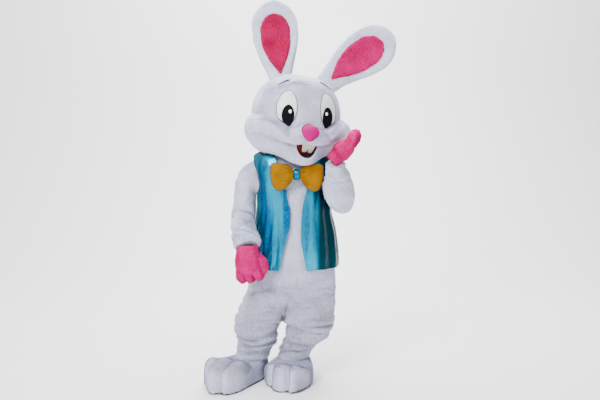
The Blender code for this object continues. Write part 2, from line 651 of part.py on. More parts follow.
# ---------------------------------------------------------------- sleeves
# Sections down each arm: centre, half size across the arm and half size front to back
SLEEVE_RIGHT = table("station x y z across deep",
                     (1, -0.222, 0.000, 1.200, 0.086, 0.078), (2, -0.250, -0.002, 1.155, 0.079, 0.078),
                     (3, -0.272, -0.004, 1.105, 0.068, 0.078), (4, -0.274, -0.008, 1.050, 0.069, 0.074),
                     (5, -0.282, -0.030, 0.988, 0.075, 0.074), (6, -0.284, -0.082, 0.932, 0.071, 0.074),
                     (7, -0.272, -0.138, 0.884, 0.074, 0.072), (8, -0.256, -0.178, 0.845, 0.080, 0.072),
                     (9, -0.246, -0.206, 0.812, 0.084, 0.072))
SLEEVE_LEFT = table("station x y z across deep",
                    (1, 0.240, -0.004, 1.198, 0.084, 0.080), (2, 0.270, -0.002, 1.150, 0.066, 0.072),
                    (3, 0.290, -0.012, 1.105, 0.062, 0.066), (4, 0.294, -0.042, 1.066, 0.060, 0.062),
                    (5, 0.290, -0.090, 1.050, 0.062, 0.062), (6, 0.280, -0.146, 1.064, 0.072, 0.062),
                    (7, 0.268, -0.190, 1.108, 0.088, 0.062), (8, 0.259, -0.214, 1.165, 0.088, 0.062),
                    (9, 0.251, -0.236, 1.218, 0.071, 0.058), (10, 0.242, -0.272, 1.262, 0.056, 0.055),
                    (11, 0.240, -0.291, 1.298, 0.054, 0.055))
SLEEVE_FOLDS = {
    # station, angle, tilt, length in degrees, depth, width in stations
    -1: ((4.9, 60, 0.5, 110, 0.012, 0.28), (4.3, 130, -0.3, 70, 0.008, 0.30),
         (6.2, 100, 0.3, 80, 0.007, 0.30),
         (5.3, -70, 0.4, 100, 0.012, 0.28), (2.7, 40, -0.4, 60, 0.006, 0.30),
         (7.6, -100, 0.2, 80, 0.007, 0.30)),
    1: ((8.2, 60, 0.4, 60, 0.006, 0.40), (9.6, 100, -0.3, 90, 0.006, 0.30), (6.8, 120, 0.4, 60, 0.006, 0.35),
        (2.2, 20, 0.3, 80, 0.006, 0.30)),
}
SLEEVE_AROUND = 2 * ARMHOLE_STEPS
UNDERARM_STATION = 4.0
# Each sleeve is three lengths of tube, so that its bend is a piece of its own: first and last station, rings
SLEEVE_PARTS = {-1: (("upper", 1, 4.0, 5), ("elbow", 4.0, 6.6, 5), ("forearm", 6.6, 9, 4)),
                1: (("upper", 1, 3.6, 4), ("elbow", 3.6, 6.8, 6), ("forearm", 6.8, 11, 7))}
STATION_GAP = 0.004     # stations left out at each side of a cut, about 0.3 mm between two lengths


def arm_frames(side):
    """Each station's centre, and its across and front directions carried along the arm without twist."""
    arm = SLEEVE_RIGHT if side < 0 else SLEEVE_LEFT
    centre = np.stack([arm["x"], arm["y"], arm["z"]], axis=1)
    run = unit(np.gradient(centre, axis=0))
    front = np.array([0.0, -1.0, 0.0])
    across, fronts = [], []
    for step in run:
        front = unit(front - step * (step @ front))
        fronts.append(front)
        across.append(side * np.cross(front, step))
    return centre, np.array(across), np.array(fronts)


def arm_ring(side, station, angle, shrink=0.0):
    """Points round the sleeve: angle 0 is the outer or upper side, 90 the front."""
    arm = SLEEVE_RIGHT if side < 0 else SLEEVE_LEFT
    _, across, fronts = arm_frames(side)
    keys = {name: read(arm, name, station) for name in ("x", "y", "z", "across", "deep")}
    tab_a = {"station": arm["station"], **{f"a{i}": across[:, i] for i in range(3)},
             **{f"f{i}": fronts[:, i] for i in range(3)}}
    wide = unit(np.stack([read(tab_a, f"a{i}", station) for i in range(3)], axis=-1))
    front = unit(np.stack([read(tab_a, f"f{i}", station) for i in range(3)], axis=-1))
    fold = 0
    for level, at, tilt, length, deep, width in SLEEVE_FOLDS[side]:
        off = (angle - at + 180) % 360 - 180
        fold = fold + deep * bell(off, length / 2) * bell(station - level - tilt * off / length, width)
    turn = np.radians(angle)
    a = ((keys["across"] - fold - shrink) * np.cos(turn))[..., None]
    d = ((keys["deep"] - fold - shrink) * np.sin(turn))[..., None]
    return np.stack([keys["x"], keys["y"], keys["z"]], axis=-1) + wide * a + front * d


def armhole_ring(side, gap):
    """The trunk's armhole as a ring from the shoulder, down its front and up its back, moved out by gap."""
    swing = np.cos(np.linspace(0, np.pi, ARMHOLE_STEPS + 1))
    height = ARMHOLE["height"] + ARMHOLE["half_height"] * swing
    cut = armhole_cut(height)
    front = trunk_point(height, side * (90 - cut))
    back = trunk_point(height, side * (90 + cut))
    ring = np.concatenate([front, back[-2:0:-1]])
    return ring + np.array([side * gap, 0, 0])


def sleeve_ring(side, station, angle, hole, shrink=0.0):
    """A ring of the sleeve; near the armhole its underside runs straight from the hole to the hanging arm."""
    here = arm_ring(side, np.full(len(angle), station), angle, shrink)
    if station >= UNDERARM_STATION:
        return here
    hanging = arm_ring(side, np.full(len(angle), UNDERARM_STATION), angle, shrink)
    share = station / UNDERARM_STATION
    under = (ramp(-0.3, 0.9, -np.cos(np.radians(angle))) * ramp(UNDERARM_STATION, 2.0, station))[:, None]
    out_then_down = np.array([1 - (1 - share) ** 3, share, share ** 3])
    return here * (1 - under) + (hole + (hanging - hole) * out_then_down) * under


def build_sleeves(plush):
    angle = np.linspace(0, 360, SLEEVE_AROUND, endpoint=False)
    for side, word in ((-1, "right"), (1, "left")):
        hole = armhole_ring(side, 0.002)
        inner_hole = hole - unit(hole - hole.mean(axis=0)) * PLUSH_WALL
        for part, first, last, count in SLEEVE_PARTS[side]:
            outer, inner = ([hole], [inner_hole]) if part == "upper" else ([], [])
            low = first if part == "upper" else first + STATION_GAP
            high = last if part == "forearm" else last - STATION_GAP
            for station in np.linspace(low, high, count):
                outer.append(sleeve_ring(side, station, angle, hole))
                inner.append(sleeve_ring(side, station, angle, inner_hole, PLUSH_WALL))
            wall(f"sleeve_{word}_{part}", np.array(outer), np.array(inner), plush, loop=True)


# ---------------------------------------------------------------- vest
VEST_TOP = 1.328
VEST_HEM = 0.672
VEST_ARMHOLE_EASE = 0.018
VEST_FLARE = 0.003
VEST_SHOULDER_RISE = 0.010
# Front edges: where each front's free edge lies, left and right of the costume's middle
VEST_EDGE = table("height right left", (1.330, -0.098, 0.112), (1.220, -0.068, 0.106), (1.129, -0.034, 0.082),
                  (1.066, -0.022, 0.066), (1.011, -0.008, 0.057), (0.944, -0.010, 0.052),
                  (0.864, -0.026, 0.050), (0.804, -0.042, 0.056), (0.744, -0.055, 0.068),
                  (0.660, -0.071, 0.082))
# Hanging folds: angle at the shoulder and at the hem, top and bottom heights, depth and half width (degrees)
VEST_FOLDS = (
    (-62, -66, 1.300, 0.660, 0.006, 4.0), (-48, -52, 1.310, 0.640, 0.008, 4.0),
    (-38, -36, 1.300, 0.700, 0.009, 4.0),
    (-30, -22, 1.250, 0.640, 0.007, 3.5), (-78, -82, 1.050, 0.640, 0.006, 4.5),
    (40, 30, 1.160, 0.800, 0.006, 4.5), (58, 52, 1.120, 0.640, 0.007, 5.0),
    (76, 78, 1.050, 0.640, 0.006, 5.0),
    (100, 104, 1.040, 0.640, 0.006, 5.0), (122, 126, 1.250, 0.640, 0.008, 5.0),
    (146, 148, 1.280, 0.640, 0.007, 5.0),
    (168, 170, 1.250, 0.640, 0.008, 5.0), (-170, -166, 1.280, 0.700, 0.006, 5.0),
    (-148, -146, 1.280, 0.640, 0.008, 5.0), (-124, -126, 1.250, 0.640, 0.007, 5.0),
    (-101, -104, 1.040, 0.640, 0.006, 5.0),
)
VEST_COLUMNS = {"right": 14, "left": 12, "back": 20}


def vest_fold(height, turn):
    """How far the hanging folds push the vest in (troughs) or out (the cloth between them)."""
    push = 0.002
    for top_turn, hem_turn, top, bottom, deep, width in VEST_FOLDS:
        share = np.clip((top - height) / (top - bottom), 0, 1)
        centre = top_turn + (hem_turn - top_turn) * share
        off = (turn - centre + 180) % 360 - 180
        fade = ramp(top + 0.01, top - 0.12, height) * ramp(bottom - 0.02, bottom + 0.08, height)
        push = push - deep * fade * (bell(off, width) - 0.55 * bell(np.abs(off) - 2.1 * width, width))
    return push


def vest_point(height, turn, out=0.0):
    at = trunk_point(height, turn)
    angle = np.radians(turn)
    away = stack(np.sin(angle), -np.cos(angle), np.zeros_like(angle + height))
    flare = VEST_FLARE * ramp(0.95, 0.66, height)
    shift = VEST_EASE + flare + out + vest_fold(height, turn)
    rise = VEST_SHOULDER_RISE * ramp(1.27, 1.32, height)
    return at + away * shift[..., None] + stack(0 * angle, 0 * angle, rise)


def edge_turn(height, which):
    """The angle at which a front's free edge lies."""
    x = read(VEST_EDGE, which, height) - read(TRUNK, "centre_x", height)
    wide = read(TRUNK, "half_width", height) + VEST_EASE
    return np.degrees(np.arcsin(np.clip(x / wide, -0.97, 0.97)))


def vest_heights():
    swing = np.cos(np.linspace(0, np.pi, ARMHOLE_STEPS + 1))
    arm = ARMHOLE["height"] + (ARMHOLE["half_height"] + VEST_ARMHOLE_EASE) * swing
    return np.concatenate([[VEST_TOP], arm[1:], [1.01, 0.93, 0.84, 0.755, VEST_HEM]])


def build_vest(lame):
    whole = vest_heights()
    upper, lower = two_lengths(whole, VEST_CUT_ROW)
    panels = (("vest_front_right", "right", whole), ("vest_front_left_upper", "left", upper),
              ("vest_front_left_lower", "left", lower), ("vest_back", "back", whole))
    for name, part, heights in panels:
        side = 90 - armhole_cut(heights, margin=VEST_ARMHOLE_EASE - 0.002, reach=4.0) - SEAM_ANGLE
        starts, ends = {
            "right": (-side, edge_turn(heights, "right")),
            "left": (edge_turn(heights, "left"), side),
            "back": (180 - side, 180 + side),
        }[part]
        share = np.linspace(0, 1, VEST_COLUMNS[part] + 1)
        turn = starts[:, None] + (ends - starts)[:, None] * share
        height = np.broadcast_to(heights[:, None], turn.shape)
        wall(name, vest_point(height, turn, VEST_WALL), vest_point(height, turn), lame)


# ---------------------------------------------------------------- bow tie
BOW_CENTRE = np.array([0.028, -0.216, 1.220])
# Sections of one wing outward from the knot: distance, top and bottom edge, half thickness
BOW_WING = table("out top bottom half_thickness", (0.019, 0.022, -0.022, 0.010),
                 (0.030, 0.040, -0.036, 0.013), (0.050, 0.052, -0.064, 0.015),
                 (0.075, 0.057, -0.084, 0.016), (0.100, 0.061, -0.090, 0.016),
                 (0.122, 0.062, -0.080, 0.015), (0.138, 0.056, -0.050, 0.012), (0.146, 0.044, -0.010, 0.007))
KNOT = {"half_width": 0.0185, "half_height": 0.030, "half_thickness": 0.021}


def wing_ring(side, out, around=14):
    """A wing's section: an oval with two soft pleats running out from the knot."""
    angle = np.linspace(0, 2 * np.pi, around, endpoint=False)
    top, bottom = read(BOW_WING, "top", out), read(BOW_WING, "bottom", out)
    thick = read(BOW_WING, "half_thickness", out)
    up = (top + bottom) / 2 + (top - bottom) / 2 * np.sign(np.sin(angle)) * np.abs(np.sin(angle)) ** 0.8
    pleat = 1 - 0.30 * ramp(0.11, 0.02, out) * np.cos(2 * np.pi * up / 0.030) ** 2
    deep = thick * np.cos(angle) * pleat
    curve = 0.008 * (out / 0.146) ** 2
    return stack(side * out + 0 * up, deep + curve, up - 0.02 * side * out)


def build_bow(satin, lame):
    places = np.array([0.0192, 0.030, 0.048, 0.070, 0.095, 0.118, 0.136, 0.146])
    for side, word in ((-1, "right"), (1, "left")):
        rings = np.array([wing_ring(side, out) for out in places]) + BOW_CENTRE
        solid_rings(f"bow_wing_{word}", rings, satin)
    around = 12
    angle = np.linspace(0, 2 * np.pi, around, endpoint=False)
    rings = []
    for share in np.linspace(-1, 1, 7):
        size = (1 - abs(share) ** 3.0) ** 0.5 if abs(share) < 1 else 0.25
        x = KNOT["half_width"] * np.sin(angle) * (0.75 + 0.25 * size)
        y = -KNOT["half_thickness"] * np.cos(angle) * size
        rings.append(stack(x, y, KNOT["half_height"] * share + 0 * x))
    solid_rings("bow_knot", np.array(rings) + BOW_CENTRE, lame)


# ---------------------------------------------------------------- gloves
# Sections along a hand from inside the sleeve to past the knuckles
HAND = table("along half_width half_thickness", (-0.030, 0.046, 0.044), (0.012, 0.050, 0.046),
             (0.045, 0.076, 0.056), (0.085, 0.078, 0.052), (0.112, 0.060, 0.044), (0.128, 0.026, 0.024))
FINGER_SIDES = 6
GLOVES = {
    "right": {
        "wrist": (-0.248, -0.222, 0.792), "along": (0.05, -0.16, -0.98), "thumb": (0.92, -0.40, 0.0),
        "palm": -1, "scale": 1.0, "cuff": 1.30,
        "fingers": (
            # name, then radius and points (along, towards the thumb, towards the palm)
            ("index", 0.028, ((0.072, 0.046, 0.000), (0.126, 0.052, 0.008), (0.142, 0.050, 0.036),
                              (0.132, 0.044, 0.060))),
            ("middle", 0.028, ((0.072, -0.002, 0.000), (0.130, -0.004, 0.006), (0.154, -0.006, 0.030),
                               (0.148, -0.006, 0.058))),
            ("little", 0.028, ((0.080, -0.048, 0.002), (0.120, -0.050, 0.004), (0.146, -0.057, 0.016),
                               (0.158, -0.054, 0.036))),
            ("thumb", 0.027, ((0.030, 0.050, 0.010), (0.062, 0.080, 0.020), (0.096, 0.078, 0.038),
                              (0.116, 0.058, 0.052))),
        ),
    },
    "left": {
        "wrist": (0.238, -0.300, 1.322), "along": (0.74, -0.06, 0.67), "thumb": (0.05, 1.0, 0.0),
        "palm": 1, "scale": 0.86, "cuff": 0.95,
        "fingers": (
            ("index", 0.034, ((0.085, 0.046, -0.004), (0.132, 0.052, 0.000), (0.168, 0.050, 0.010),
                              (0.186, 0.046, 0.024))),
            ("middle", 0.034, ((0.085, -0.002, -0.004), (0.136, -0.004, 0.000), (0.174, -0.006, 0.010),
                               (0.194, -0.006, 0.024))),
            ("little", 0.034, ((0.080, -0.048, -0.002), (0.124, -0.054, 0.002), (0.156, -0.054, 0.012),
                               (0.172, -0.050, 0.026))),
            ("thumb", 0.027, ((0.030, 0.050, 0.000), (0.060, 0.078, 0.000), (0.092, 0.084, 0.002),
                              (0.112, 0.078, 0.006))),
        ),
    },
}


def hand_frame(glove):
    """The wrist's place and the hand's along, thumb and palm directions."""
    along = unit(np.array(glove["along"]))
    thumb = np.array(glove["thumb"])
    thumb = unit(thumb - along * (thumb @ along))
    return np.array(glove["wrist"]), along, thumb, glove["palm"] * np.cross(along, thumb)


def hand_rings(glove, shrink, start=0.0, around=10):
    wrist, along, thumb, palm = hand_frame(glove)
    angle = np.linspace(0, 2 * np.pi, around, endpoint=False)
    rings = []
    for at, half, thick in zip(HAND["along"], HAND["half_width"], HAND["half_thickness"]):
        reach = at + (start if at == HAND["along"][0] else 0) - shrink * (at > 0.12)
        cuff = glove["cuff"] if at < 0.02 else 1.0
        a = max(half * cuff - shrink, 0.005) * np.cos(angle)[:, None] * thumb
        d = max(thick * cuff - shrink, 0.005) * np.sin(angle)[:, None] * palm
        rings.append(wrist + glove["scale"] * (reach * along + a + d))
    return np.array(rings)


def finger_rings(glove, radius, points, shrink, sides=FINGER_SIDES):
    """A finger: rounded rings along its bent line, the tip drawn in."""
    wrist, along, thumb, palm = hand_frame(glove)
    line = np.array([p[0] * along + p[1] * thumb + p[2] * palm for p in points])
    run = unit(np.gradient(line, axis=0))
    line = line - run * shrink * np.array([0, 0, 0, 1])[:, None]
    angle = np.linspace(0, 2 * np.pi, sides, endpoint=False)
    rings = []
    # one ring at each joint, and a small one ahead of the last that rounds the tip
    for joint, size, ahead in ((0, 0.9, 0), (1, 1, 0), (2, 1, 0), (3, 0.92, 0), (3, 0.55, 0.6)):
        centre, step = line[joint], run[joint]
        one = unit(np.cross(step, thumb + 0.3 * along))
        two = np.cross(step, one)
        r = (radius - shrink) * size
        rings.append(centre + step * ahead * radius + r * (np.cos(angle)[:, None] * one
                                                           + np.sin(angle)[:, None] * two))
    return wrist + glove["scale"] * np.array(rings)


def cut_or_join(piece, other, operation):
    """Apply a Boolean with a helper object, then drop the helper.

    The helpers cross each other inside the piece, where the exact solver leaves edges of three faces.
    """
    step = piece.modifiers.new(other.name, "BOOLEAN")
    step.operation = operation
    step.object = other
    step.solver = "MANIFOLD"
    bpy.context.view_layer.update()
    done = bpy.data.meshes.new_from_object(piece.evaluated_get(bpy.context.evaluated_depsgraph_get()))
    piece.modifiers.clear()
    piece.data = done
    bpy.data.objects.remove(other)


def keep_largest_island(piece):
    """Drop the crumbs a Boolean leaves where two helpers nearly touch."""
    work = bmesh.new()
    work.from_mesh(piece.data)
    left = set(work.verts)
    islands = []
    while left:
        reached, front = set(), [left.pop()]
        while front:
            spot = front.pop()
            reached.add(spot)
            for edge in spot.link_edges:
                other = edge.other_vert(spot)
                if other in left:
                    left.discard(other)
                    front.append(other)
        islands.append(reached)
    islands.sort(key=len)
    for crumb in islands[:-1]:
        bmesh.ops.delete(work, geom=list(crumb), context="VERTS")
    bmesh.ops.remove_doubles(work, verts=work.verts, dist=0.0004)
    bmesh.ops.dissolve_degenerate(work, edges=work.edges, dist=0.0002)
    bmesh.ops.triangulate(work, faces=work.faces)
    work.to_mesh(piece.data)
    work.free()


CUFF_END = 0.006        # where a glove's cuff meets its hand


def split_cuff(hand, glove, pink):
    """Cut the cuff off as a piece of its own, so that each is a simpler hollow."""
    wrist, along, thumb, palm = hand_frame(glove)
    corners = np.array([[-1, -1], [1, -1], [1, 1], [-1, 1]]) * 0.3
    plane = wrist + corners[:, :1] * thumb + corners[:, 1:] * palm
    cuff = bpy.data.objects.new(f"{hand.name}_cuff", hand.data.copy())
    bpy.context.scene.collection.objects.link(cuff)
    cuff.parent = hand.parent
    for piece, start, end in ((hand, -0.3, CUFF_END + SEAM_GAP / 2), (cuff, CUFF_END - SEAM_GAP / 2, 0.3)):
        rings = np.array([plane + along * glove["scale"] * at for at in (start, end)])
        cut_or_join(piece, solid_rings("block", rings, pink), "DIFFERENCE")
        keep_largest_island(piece)


def build_gloves(pink):
    for word, glove in GLOVES.items():
        hand = solid_rings(f"glove_{word}", hand_rings(glove, 0.0), pink)
        for name, radius, points in glove["fingers"]:
            cut_or_join(hand, solid_rings(name, finger_rings(glove, radius, points, 0.0), pink), "UNION")
        cut_or_join(hand, solid_rings("hollow", hand_rings(glove, GLOVE_WALL, -0.01), pink), "DIFFERENCE")
        for name, radius, points in glove["fingers"]:
            hollow = solid_rings(name, finger_rings(glove, radius, points, GLOVE_WALL, 5), pink)
            cut_or_join(hand, hollow, "DIFFERENCE")
        keep_largest_island(hand)
        split_cuff(hand, glove, pink)


# ---------------------------------------------------------------- boots
BOOTS = {
    # where the ankle stands, how far the foot is turned, each toe's share of the full length, how high the
    # toes stand, how far they splay to one side, and how far the waist is tucked in on its inner side
    "right": {"ankle": (-0.242, -0.006), "turn": -26.0, "toes": (1.06, 1.21, 1.25), "rise": 1.15,
              "splay": -0.042, "tuck": 0.022},
    "left": {"ankle": (0.010, -0.020), "turn": -17.0, "toes": (0.76, 0.92, 1.0), "rise": 0.80,
             "splay": 0.004, "tuck": -0.012},
}
# Levels of a boot from the sole up: how far it swells from the ankle's ring to the full outline
BOOT = table("height swell length", (0.0, 0.94, 0.97), (0.025, 1.0, 1.0), (0.066, 1.0, 1.0),
             (0.098, 0.93, 0.95), (0.115, 0.76, 0.80), (0.125, 0.48, 0.52), (0.130, 0.23, 0.23),
             (0.134, 0.03, 0.03), (0.158, 0.0, 0.0))
BOOT_LENGTH = 0.325     # ankle's middle to the longest toe's tip
TOE_RISE = 0.046        # how much higher the toes stand than the instep
TOE_GROOVE = 0.010
GROOVE_SPREAD = 0.016
TOE_NOTCH = 0.09        # how far the outline steps back between two toes, as a share of the length
TOES_ACROSS = 2.84
BOOT_HALF_WIDTH = 0.150
HEEL_REACH = 0.105
ANKLE_RADIUS = 0.072
BOOT_AROUND = 24


def boot_outline(angle, boot):
    """Plan outline round the ankle: 0 is straight ahead. Three toes swell from the front."""
    forward = np.cos(angle)
    length = np.where(forward > 0, BOOT_LENGTH, HEEL_REACH)
    across = np.sin(angle)
    grow = ramp(-0.3, 0.75, forward)
    half = HEEL_REACH * (1 - grow) + BOOT_HALF_WIDTH * grow
    power = 2.0 + 0.9 * grow
    reach = (np.abs(forward / length) ** power + np.abs(across / half) ** power) ** (-1 / power)
    x, y = reach * across, reach * forward
    share = x / BOOT_HALF_WIDTH
    toes = boot["toes"]
    toe = np.select([share < -1 / TOES_ACROSS, share > 1 / TOES_ACROSS], [toes[0], toes[2]], toes[1])
    front = ramp(0.10, 0.26, y)
    between = np.abs(np.cos(np.pi * share * TOES_ACROSS / 2)) ** 0.8
    tucked = boot["tuck"] * bell(y - 0.08, 0.07) * ramp(0.0, 0.08, x * np.sign(boot["tuck"]))
    x = x + boot["splay"] * ramp(-0.05, 0.20, y) - tucked
    return x, y * (1 - front) + y * front * toe * (1 - TOE_NOTCH + TOE_NOTCH * between)


def boot_ring(boot, height, shrink=0.0):
    """One level of the boot's upper."""
    spread = np.linspace(0, 2 * np.pi, BOOT_AROUND, endpoint=False)
    angle = spread - 0.55 * np.sin(spread) * ramp(-0.2, 1.0, np.cos(spread))
    x, y = boot_outline(angle, boot)
    swell, length = read(BOOT, "swell", height), read(BOOT, "length", height)
    ring_x, ring_y = ANKLE_RADIUS * np.sin(angle), ANKLE_RADIUS * np.cos(angle)
    x = ring_x + (x - ring_x) * swell
    y = ring_y + (y - ring_y) * length
    size = np.sqrt(x * x + y * y)
    x, y = x * (1 - shrink / size), y * (1 - shrink / size)
    upper = ramp(0.03, 0.10, height) * ramp(0.13, 0.25, y)
    groove = bell(np.abs(x - boot["splay"]) - BOOT_HALF_WIDTH / TOES_ACROSS, GROOVE_SPREAD)
    level = stack(x, -y, height + upper * (TOE_RISE * boot["rise"] - TOE_GROOVE * groove))
    return turned(level, 0, 0, boot["turn"]) + np.array([*boot["ankle"], 0.0])


def build_boots(plush, rubber):
    levels = np.array([SOLE_THICKNESS + SEAM_GAP, 0.035, 0.070, 0.098, 0.115, 0.125, 0.1335, 0.158])
    for word, boot in BOOTS.items():
        outer = np.array([boot_ring(boot, h) for h in levels])
        inner = np.array([boot_ring(boot, h, BOOT_WALL) for h in levels])
        inner[1:-1, :, 2] -= (BOOT_WALL * ramp(0.05, 0.10, levels[1:-1]))[:, None]
        inner[-2, :, 2] += BOOT_WALL * 0.4
        wall(f"boot_{word}", outer, inner, plush, loop=True)
        low, high = boot_ring(boot, 0.0, 0.002), boot_ring(boot, 0.0, 0.002)
        high[:, 2] = SOLE_THICKNESS
        solid_rings(f"sole_{word}", np.array([low, high]), rubber)


# ---------------------------------------------------------------- tail
TAIL = {"centre": (0.0, 0.238, 0.590), "radius": 0.066}


def build_tail(plush):
    """A round puff, flat where it is sewn to the suit's back."""
    around, levels = 14, 8
    angle = np.linspace(0, 2 * np.pi, around, endpoint=False)
    rings = []
    for share in np.linspace(-0.88, 0.985, levels):
        size = TAIL["radius"] * math.sqrt(1 - share * share)
        rings.append(stack(size * np.cos(angle), TAIL["radius"] * share + 0 * angle, size * np.sin(angle)))
    solid_rings("tail", np.array(rings) + np.array(TAIL["centre"]), plush)


# ---------------------------------------------------------------- the whole costume
def main():
    for old in list(bpy.data.objects):
        bpy.data.objects.remove(old)
    wearer = bpy.data.objects.new("wearer", None)
    wearer.location = (0, 0, -SHOULDER_HEIGHT)
    bpy.context.scene.collection.objects.link(wearer)

    white_plush = material("white_plush", (0.82, 0.82, 0.88), 0.95)
    pink_plush = material("pink_plush", (0.95, 0.10, 0.32), 0.95)
    lame = material("turquoise_lame", (0.0, 0.38, 0.52), 0.28, 0.9)
    satin = material("orange_satin", (0.85, 0.42, 0.02), 0.5)
    eye_white = material("eye_white", (0.72, 0.76, 0.74), 0.35)
    black = material("black_vinyl", (0.01, 0.01, 0.015), 0.25)
    glint = material("white_vinyl", (0.95, 0.95, 0.95), 0.3)
    nose_pink = material("nose_pink", (0.80, 0.08, 0.36), 0.4)
    mouth_red = material("mouth_red", (0.16, 0.005, 0.01), 0.8)
    enamel = material("tooth_white", (0.75, 0.74, 0.66), 0.5)
    rubber = material("sole_rubber", (0.05, 0.05, 0.055), 0.7)

    build_head(white_plush)
    build_eyes(eye_white, black, glint)
    build_brows(black)
    build_nose(nose_pink)
    build_mouth(mouth_red, enamel)
    build_ears(white_plush, pink_plush)
    build_trunk(white_plush)
    build_legs(white_plush)
    build_sleeves(white_plush)
    build_tail(white_plush)
    build_vest(lame)
    build_bow(satin, lame)
    build_gloves(pink_plush)
    build_boots(white_plush, rubber)
    bpy.context.view_layer.update()


main()
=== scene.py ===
# %% [markdown]
# A rabbit mascot costume, standing as it does on a wearer but with nobody in it.
# The real one is sewn from long white plush over foam, with a shiny vest, a stuffed bow tie,
# plush gloves and padded boots. The solid model gives every size and place. This lesson
# rebuilds each piece over it with more points, soft folds, pile and sewing, so that it looks
# like cloth and still has the same size.

# %% Bring in the solid model
import json
import math

import bmesh
import bpy
import numpy as np
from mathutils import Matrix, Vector

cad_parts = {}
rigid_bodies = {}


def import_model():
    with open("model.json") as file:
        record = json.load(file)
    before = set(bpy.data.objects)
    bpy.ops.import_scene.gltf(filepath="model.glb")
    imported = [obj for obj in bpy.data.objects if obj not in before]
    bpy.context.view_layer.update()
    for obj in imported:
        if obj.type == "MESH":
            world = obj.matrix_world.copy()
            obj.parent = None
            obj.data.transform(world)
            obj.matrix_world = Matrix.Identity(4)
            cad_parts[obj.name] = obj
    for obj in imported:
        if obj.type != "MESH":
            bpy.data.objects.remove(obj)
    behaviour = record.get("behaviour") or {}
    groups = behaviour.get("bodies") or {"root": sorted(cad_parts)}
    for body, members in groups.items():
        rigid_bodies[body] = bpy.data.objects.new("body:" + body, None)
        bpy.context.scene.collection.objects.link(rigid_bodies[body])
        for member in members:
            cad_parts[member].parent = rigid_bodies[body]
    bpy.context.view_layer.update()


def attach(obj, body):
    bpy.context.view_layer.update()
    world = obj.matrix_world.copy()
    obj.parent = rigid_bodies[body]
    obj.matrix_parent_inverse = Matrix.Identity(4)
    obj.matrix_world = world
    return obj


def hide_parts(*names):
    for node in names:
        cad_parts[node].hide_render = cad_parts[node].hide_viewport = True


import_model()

# %% [markdown]
# A camera first, because everything after it is seen through it. The costume stands on a
# floor 1.34 m under the wearer's shoulders, which are the model's origin. The camera is a
# little above that, as a person holding one would have it, and looks slightly down.

# %% Set up the camera
SHOULDER_HEIGHT = 1.34
FLOOR = -SHOULDER_HEIGHT
CAMERA_BACK = 4.7
CAMERA_ASIDE = 0.046
CAMERA_HEIGHT = 1.57
LOOK_DOWN = 6.25        # degrees
FOCAL_LENGTH = 48.6     # millimetres, with a sensor 36 wide

lens = bpy.data.cameras.new("camera")
lens.sensor_width = 36
lens.lens = FOCAL_LENGTH
camera = bpy.data.objects.new("camera", lens)
camera.location = (CAMERA_ASIDE, -CAMERA_BACK, FLOOR + CAMERA_HEIGHT)
camera.rotation_euler = (math.radians(90 - LOOK_DOWN), 0, 0)
bpy.context.scene.collection.objects.link(camera)
bpy.context.scene.camera = camera
print("camera", tuple(round(x, 3) for x in camera.location))

# %% [markdown]
# The room is a pale floor that curves up into a wall far behind, so that no edge shows.
# Soft light comes from one large lamp on the left, a weak one on the right, one above, one
# behind, and one turned to the wall. The world fills the shadows. It is brighter above and on
# the left, as under an open sky beside a wall, and has tall strips in it, because shiny cloth
# needs both bright and dim places to mirror, or it looks like paint.

# %% Build the room
def shader_of(name, colour, roughness, **sockets):
    """A material with the same colour and finish all over."""
    made = bpy.data.materials.new(name)
    made.use_nodes = True
    shader = made.node_tree.nodes["Principled BSDF"]
    shader.inputs["Base Color"].default_value = (*colour, 1)
    shader.inputs["Roughness"].default_value = roughness
    for socket, value in sockets.items():
        shader.inputs[socket.replace("_", " ")].default_value = value
    return made


def mesh_object(name, points, faces, *materials):
    """A smooth mesh object from points and faces."""
    mesh = bpy.data.meshes.new(name)
    mesh.from_pydata(np.asarray(points).reshape(-1, 3).tolist(), [], faces)
    mesh.shade_smooth()
    for surface in materials:
        mesh.materials.append(surface)
    made = bpy.data.objects.new(name, mesh)
    bpy.context.scene.collection.objects.link(made)
    return made


def put_right(made, join=0.0, outward=True):
    """Join the points that lie within `join` of each other, and turn every face outward."""
    work = bmesh.new()
    work.from_mesh(made.data)
    if join:
        bmesh.ops.remove_doubles(work, verts=work.verts, dist=join)
    if outward:
        bmesh.ops.recalc_face_normals(work, faces=work.faces)
    work.to_mesh(made.data)
    work.free()
    made.data.shade_smooth()


def grid_faces(rows, columns, loop=False):
    """Quads between the points of a grid; loop joins its last column to its first."""
    across = columns if loop else columns - 1
    r, c = np.meshgrid(np.arange(rows - 1), np.arange(across), indexing="ij")
    d = (c + 1) % columns
    here, below = r * columns, (r + 1) * columns
    quads = np.stack([here + c, below + c, below + d, here + d], axis=-1)
    return quads.reshape(-1, 4).tolist()


FLOOR_REACH = 9         # to either side and to the front
WALL_BEND = 2           # radius of the curve from floor to wall, which begins as far behind
bend = [(WALL_BEND * (1 + math.sin(a)), FLOOR + WALL_BEND * (1 - math.cos(a)))
        for a in np.linspace(0.2, math.pi / 2, 8)]
sweep = [(-FLOOR_REACH, FLOOR), (WALL_BEND, FLOOR), *bend, (2 * WALL_BEND, 7.0)]
floor_points = [(x, y, z) for y, z in sweep for x in (-FLOOR_REACH, FLOOR_REACH)]
pale = shader_of("pale_paper", (0.86, 0.86, 0.87), 0.9)
mesh_object("floor", floor_points, grid_faces(len(sweep), 2), pale)


def added(tree, kind, **inputs):
    """A new shader node of one kind, with its inputs set."""
    node = tree.nodes.new("ShaderNode" + kind)
    for socket, value in inputs.items():
        node.inputs[socket.replace("_", " ")].default_value = value
    return node


